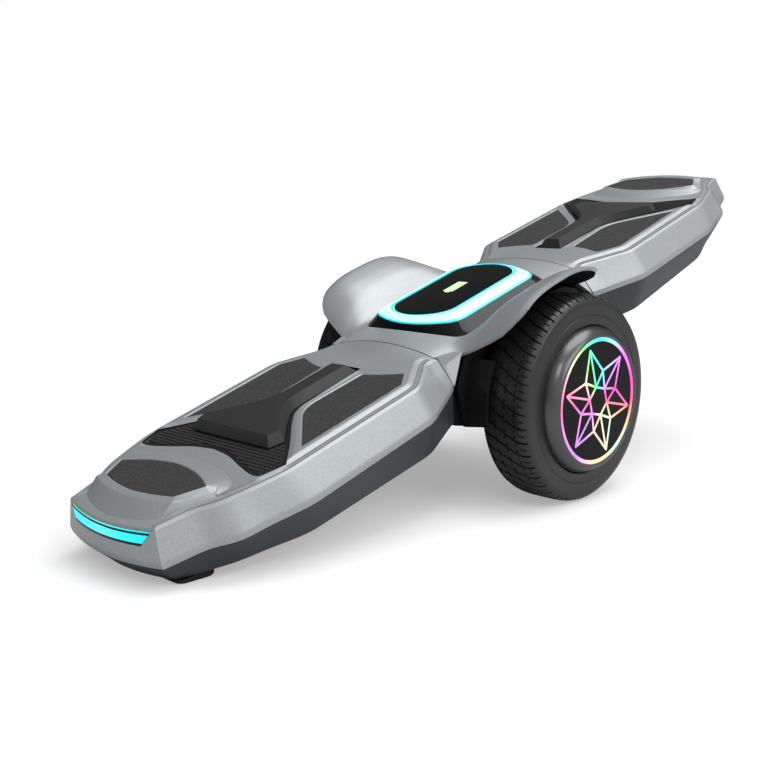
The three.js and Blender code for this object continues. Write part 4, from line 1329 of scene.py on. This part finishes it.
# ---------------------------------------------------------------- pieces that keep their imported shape
KEPT = [  # ending of the piece's name, slot, material
    ("wheel_liner", "black_liner", BLACK), ("pod_lower_shell", "black_liner", BLACK),
    ("charge_socket", "black_liner", BLACK),
    ("charge_cap", "black_rubber", RUBBER), ("power_button", "gloss_black", GLOSS),
    ("hub_shell", "hub_metal", HUB), ("stator", "motor_stator", COPPER), ("axle", "steel", STEEL),
    ("twist_shaft", "steel", STEEL), ("twist_bush", "bush_plastic", BLACK),
    ("deck_frame", "casting", CASTING), ("axle_frame", "casting", CASTING),
    ("battery_pack", "battery_sleeve", SLEEVE),
    ("control_board", "circuit_board", BOARD_GREEN), ("display_board", "circuit_board", BOARD_GREEN),
    ("sensor_board", "circuit_board", BOARD_GREEN), ("harness", "cable_sheath", RUBBER),
    ("motor_cable", "cable_sheath", RUBBER),
]
EDGE_ROUND = 0.35


def dress(name, material):
    """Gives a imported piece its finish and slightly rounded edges."""
    node = frame["nodes"][name]
    node.data.materials.clear()
    node.data.materials.append(material)
    node.modifiers.new("joined", "WELD").merge_threshold = 0.02 * MM
    rounding = node.modifiers.new("rounding", "BEVEL")
    rounding.width = EDGE_ROUND * MM
    rounding.segments = 2
    rounding.limit_method = "ANGLE"
    rounding.angle_limit = math.radians(35)
    rounding.harden_normals = True


# ---------------------------------------------------------------- floor, light and camera
FLOOR_COLOUR = (0.62, 0.62, 0.62)
FLOOR_SIZE = 60.0
# Metres from the middle where the glow starts and stops to grow, and the glow at each.
FLOOR_GLOW = {"From_Min": 0.35, "From_Max": 3.0, "To_Min": 0.36, "To_Max": 1.0}
LAMPS = [  # where, watts, width, height
    ((-0.3, 2.3, 1.7), 25, 2.4, 1.4),
    ((1.6, 1.1, 2.0), 7, 0.6, 0.9),
    ((-0.6, 0.2, 2.4), 43, 2.0, 2.0),
]
LAMPS_AIM = (0, 0, 0.05)
SKY_TOWARDS = (0.10, 0.80, 0.55)
SKY_SHADES = [(0.0, 0.12), (0.3, 0.55), (0.8, 1.15)]  # share of the turn towards it, and grey
SKY_STRENGTH = 0.75
CAMERA_AT = (0.6853, 0.5887, 0.2383)
CAMERA_TOWARDS = (-0.6985, -0.6950, -0.1705)
CAMERA_LENS = 50.27
SENSOR_WIDTH = 36


def floor():
    """A pale floor that catches the shadow and, to the eye, fades to white with distance."""
    mesh = bpy.data.meshes.new("floor")
    half = FLOOR_SIZE / 2
    corners = [(-half, -half), (half, -half), (half, half), (-half, half)]
    mesh.from_pydata([(x, y, 0) for x, y in corners], [], [(0, 1, 2, 3)])
    made = bpy.data.objects.new("floor", mesh)
    bpy.context.scene.collection.objects.link(made)
    material, tree, bsdf = shader("pale_floor", FLOOR_COLOUR, 0.9)
    bsdf.inputs["Specular IOR Level"].default_value = 0.1
    place = tree.nodes.new("ShaderNodeTexCoord")
    away = tree.nodes.new("ShaderNodeVectorMath")
    away.operation = "LENGTH"
    tree.links.new(place.outputs["Object"], away.inputs[0])
    spread = add_node(tree, "ShaderNodeMapRange", **FLOOR_GLOW)
    tree.links.new(away.outputs["Value"], spread.inputs["Value"])
    seen = tree.nodes.new("ShaderNodeLightPath")
    glow = worked_out(tree, "MULTIPLY", spread.outputs["Result"], seen.outputs["Is Camera Ray"])
    tree.links.new(glow, bsdf.inputs["Emission Strength"])
    bsdf.inputs["Emission Color"].default_value = (1, 1, 1, 1)
    mesh.materials.append(material)


def lamps():
    for place, watts, width, height in LAMPS:
        data = bpy.data.lights.new("softbox", "AREA")
        data.shape = "RECTANGLE"
        data.size, data.size_y = width, height
        data.energy = watts
        made = bpy.data.objects.new("softbox", data)
        made.location = place
        made.rotation_mode = "QUATERNION"
        made.rotation_quaternion = (Vector(LAMPS_AIM) - Vector(place)).to_track_quat("-Z", "Y")
        bpy.context.scene.collection.objects.link(made)


def sky():
    """White to the eye; as light, brighter above and towards the left wheel, and darker to the right."""
    world = bpy.data.worlds.new("studio")
    bpy.context.scene.world = world
    world.use_nodes = True
    tree = world.node_tree
    tree.nodes.clear()
    place = add_node(tree, "ShaderNodeTexCoord")
    dot = add_node(tree, "ShaderNodeVectorMath")
    dot.operation = "DOT_PRODUCT"
    dot.inputs[1].default_value = Vector(SKY_TOWARDS).normalized()
    tree.links.new(place.outputs["Generated"], dot.inputs[0])
    shades = ramp(tree, dot.outputs["Value"], [(at, (grey,) * 3) for at, grey in SKY_SHADES])
    lit = add_node(tree, "ShaderNodeBackground", Strength=SKY_STRENGTH)
    tree.links.new(shades, lit.inputs["Color"])
    seen = add_node(tree, "ShaderNodeBackground", Color=(1, 1, 1, 1), Strength=1.0)
    ray = add_node(tree, "ShaderNodeLightPath")
    mix = add_node(tree, "ShaderNodeMixShader")
    tree.links.new(ray.outputs["Is Camera Ray"], mix.inputs[0])
    tree.links.new(lit.outputs[0], mix.inputs[1])
    tree.links.new(seen.outputs[0], mix.inputs[2])
    out = add_node(tree, "ShaderNodeOutputWorld")
    tree.links.new(mix.outputs[0], out.inputs["Surface"])


def camera():
    data = bpy.data.cameras.new("camera")
    data.lens = CAMERA_LENS
    data.sensor_width = SENSOR_WIDTH
    data.clip_start = 0.01
    made = bpy.data.objects.new("camera", data)
    made.location = CAMERA_AT
    made.rotation_mode = "QUATERNION"
    made.rotation_quaternion = Vector(CAMERA_TOWARDS).to_track_quat("-Z", "Y")
    bpy.context.scene.collection.objects.link(made)
    bpy.context.scene.camera = made


pod_upper_shell()
display_base()
display_light_ring()
display_glass()
battery_sign()
deck("front", "left", "right")
deck("rear", "right", "left")
for wheel in ("left", "right"):
    tyre(wheel)
    hub_dome(wheel)
    hub_light(wheel)
    hub_disc(wheel)
    rosette(wheel)
for ending, slot, material in KEPT:
    for name in frame["nodes"]:
        if name.endswith(ending):
            dress(name, material)
floor()
lamps()
sky()
camera()
bpy.context.scene.view_settings.view_transform = "Standard"
bpy.context.scene.view_settings.look = "None"
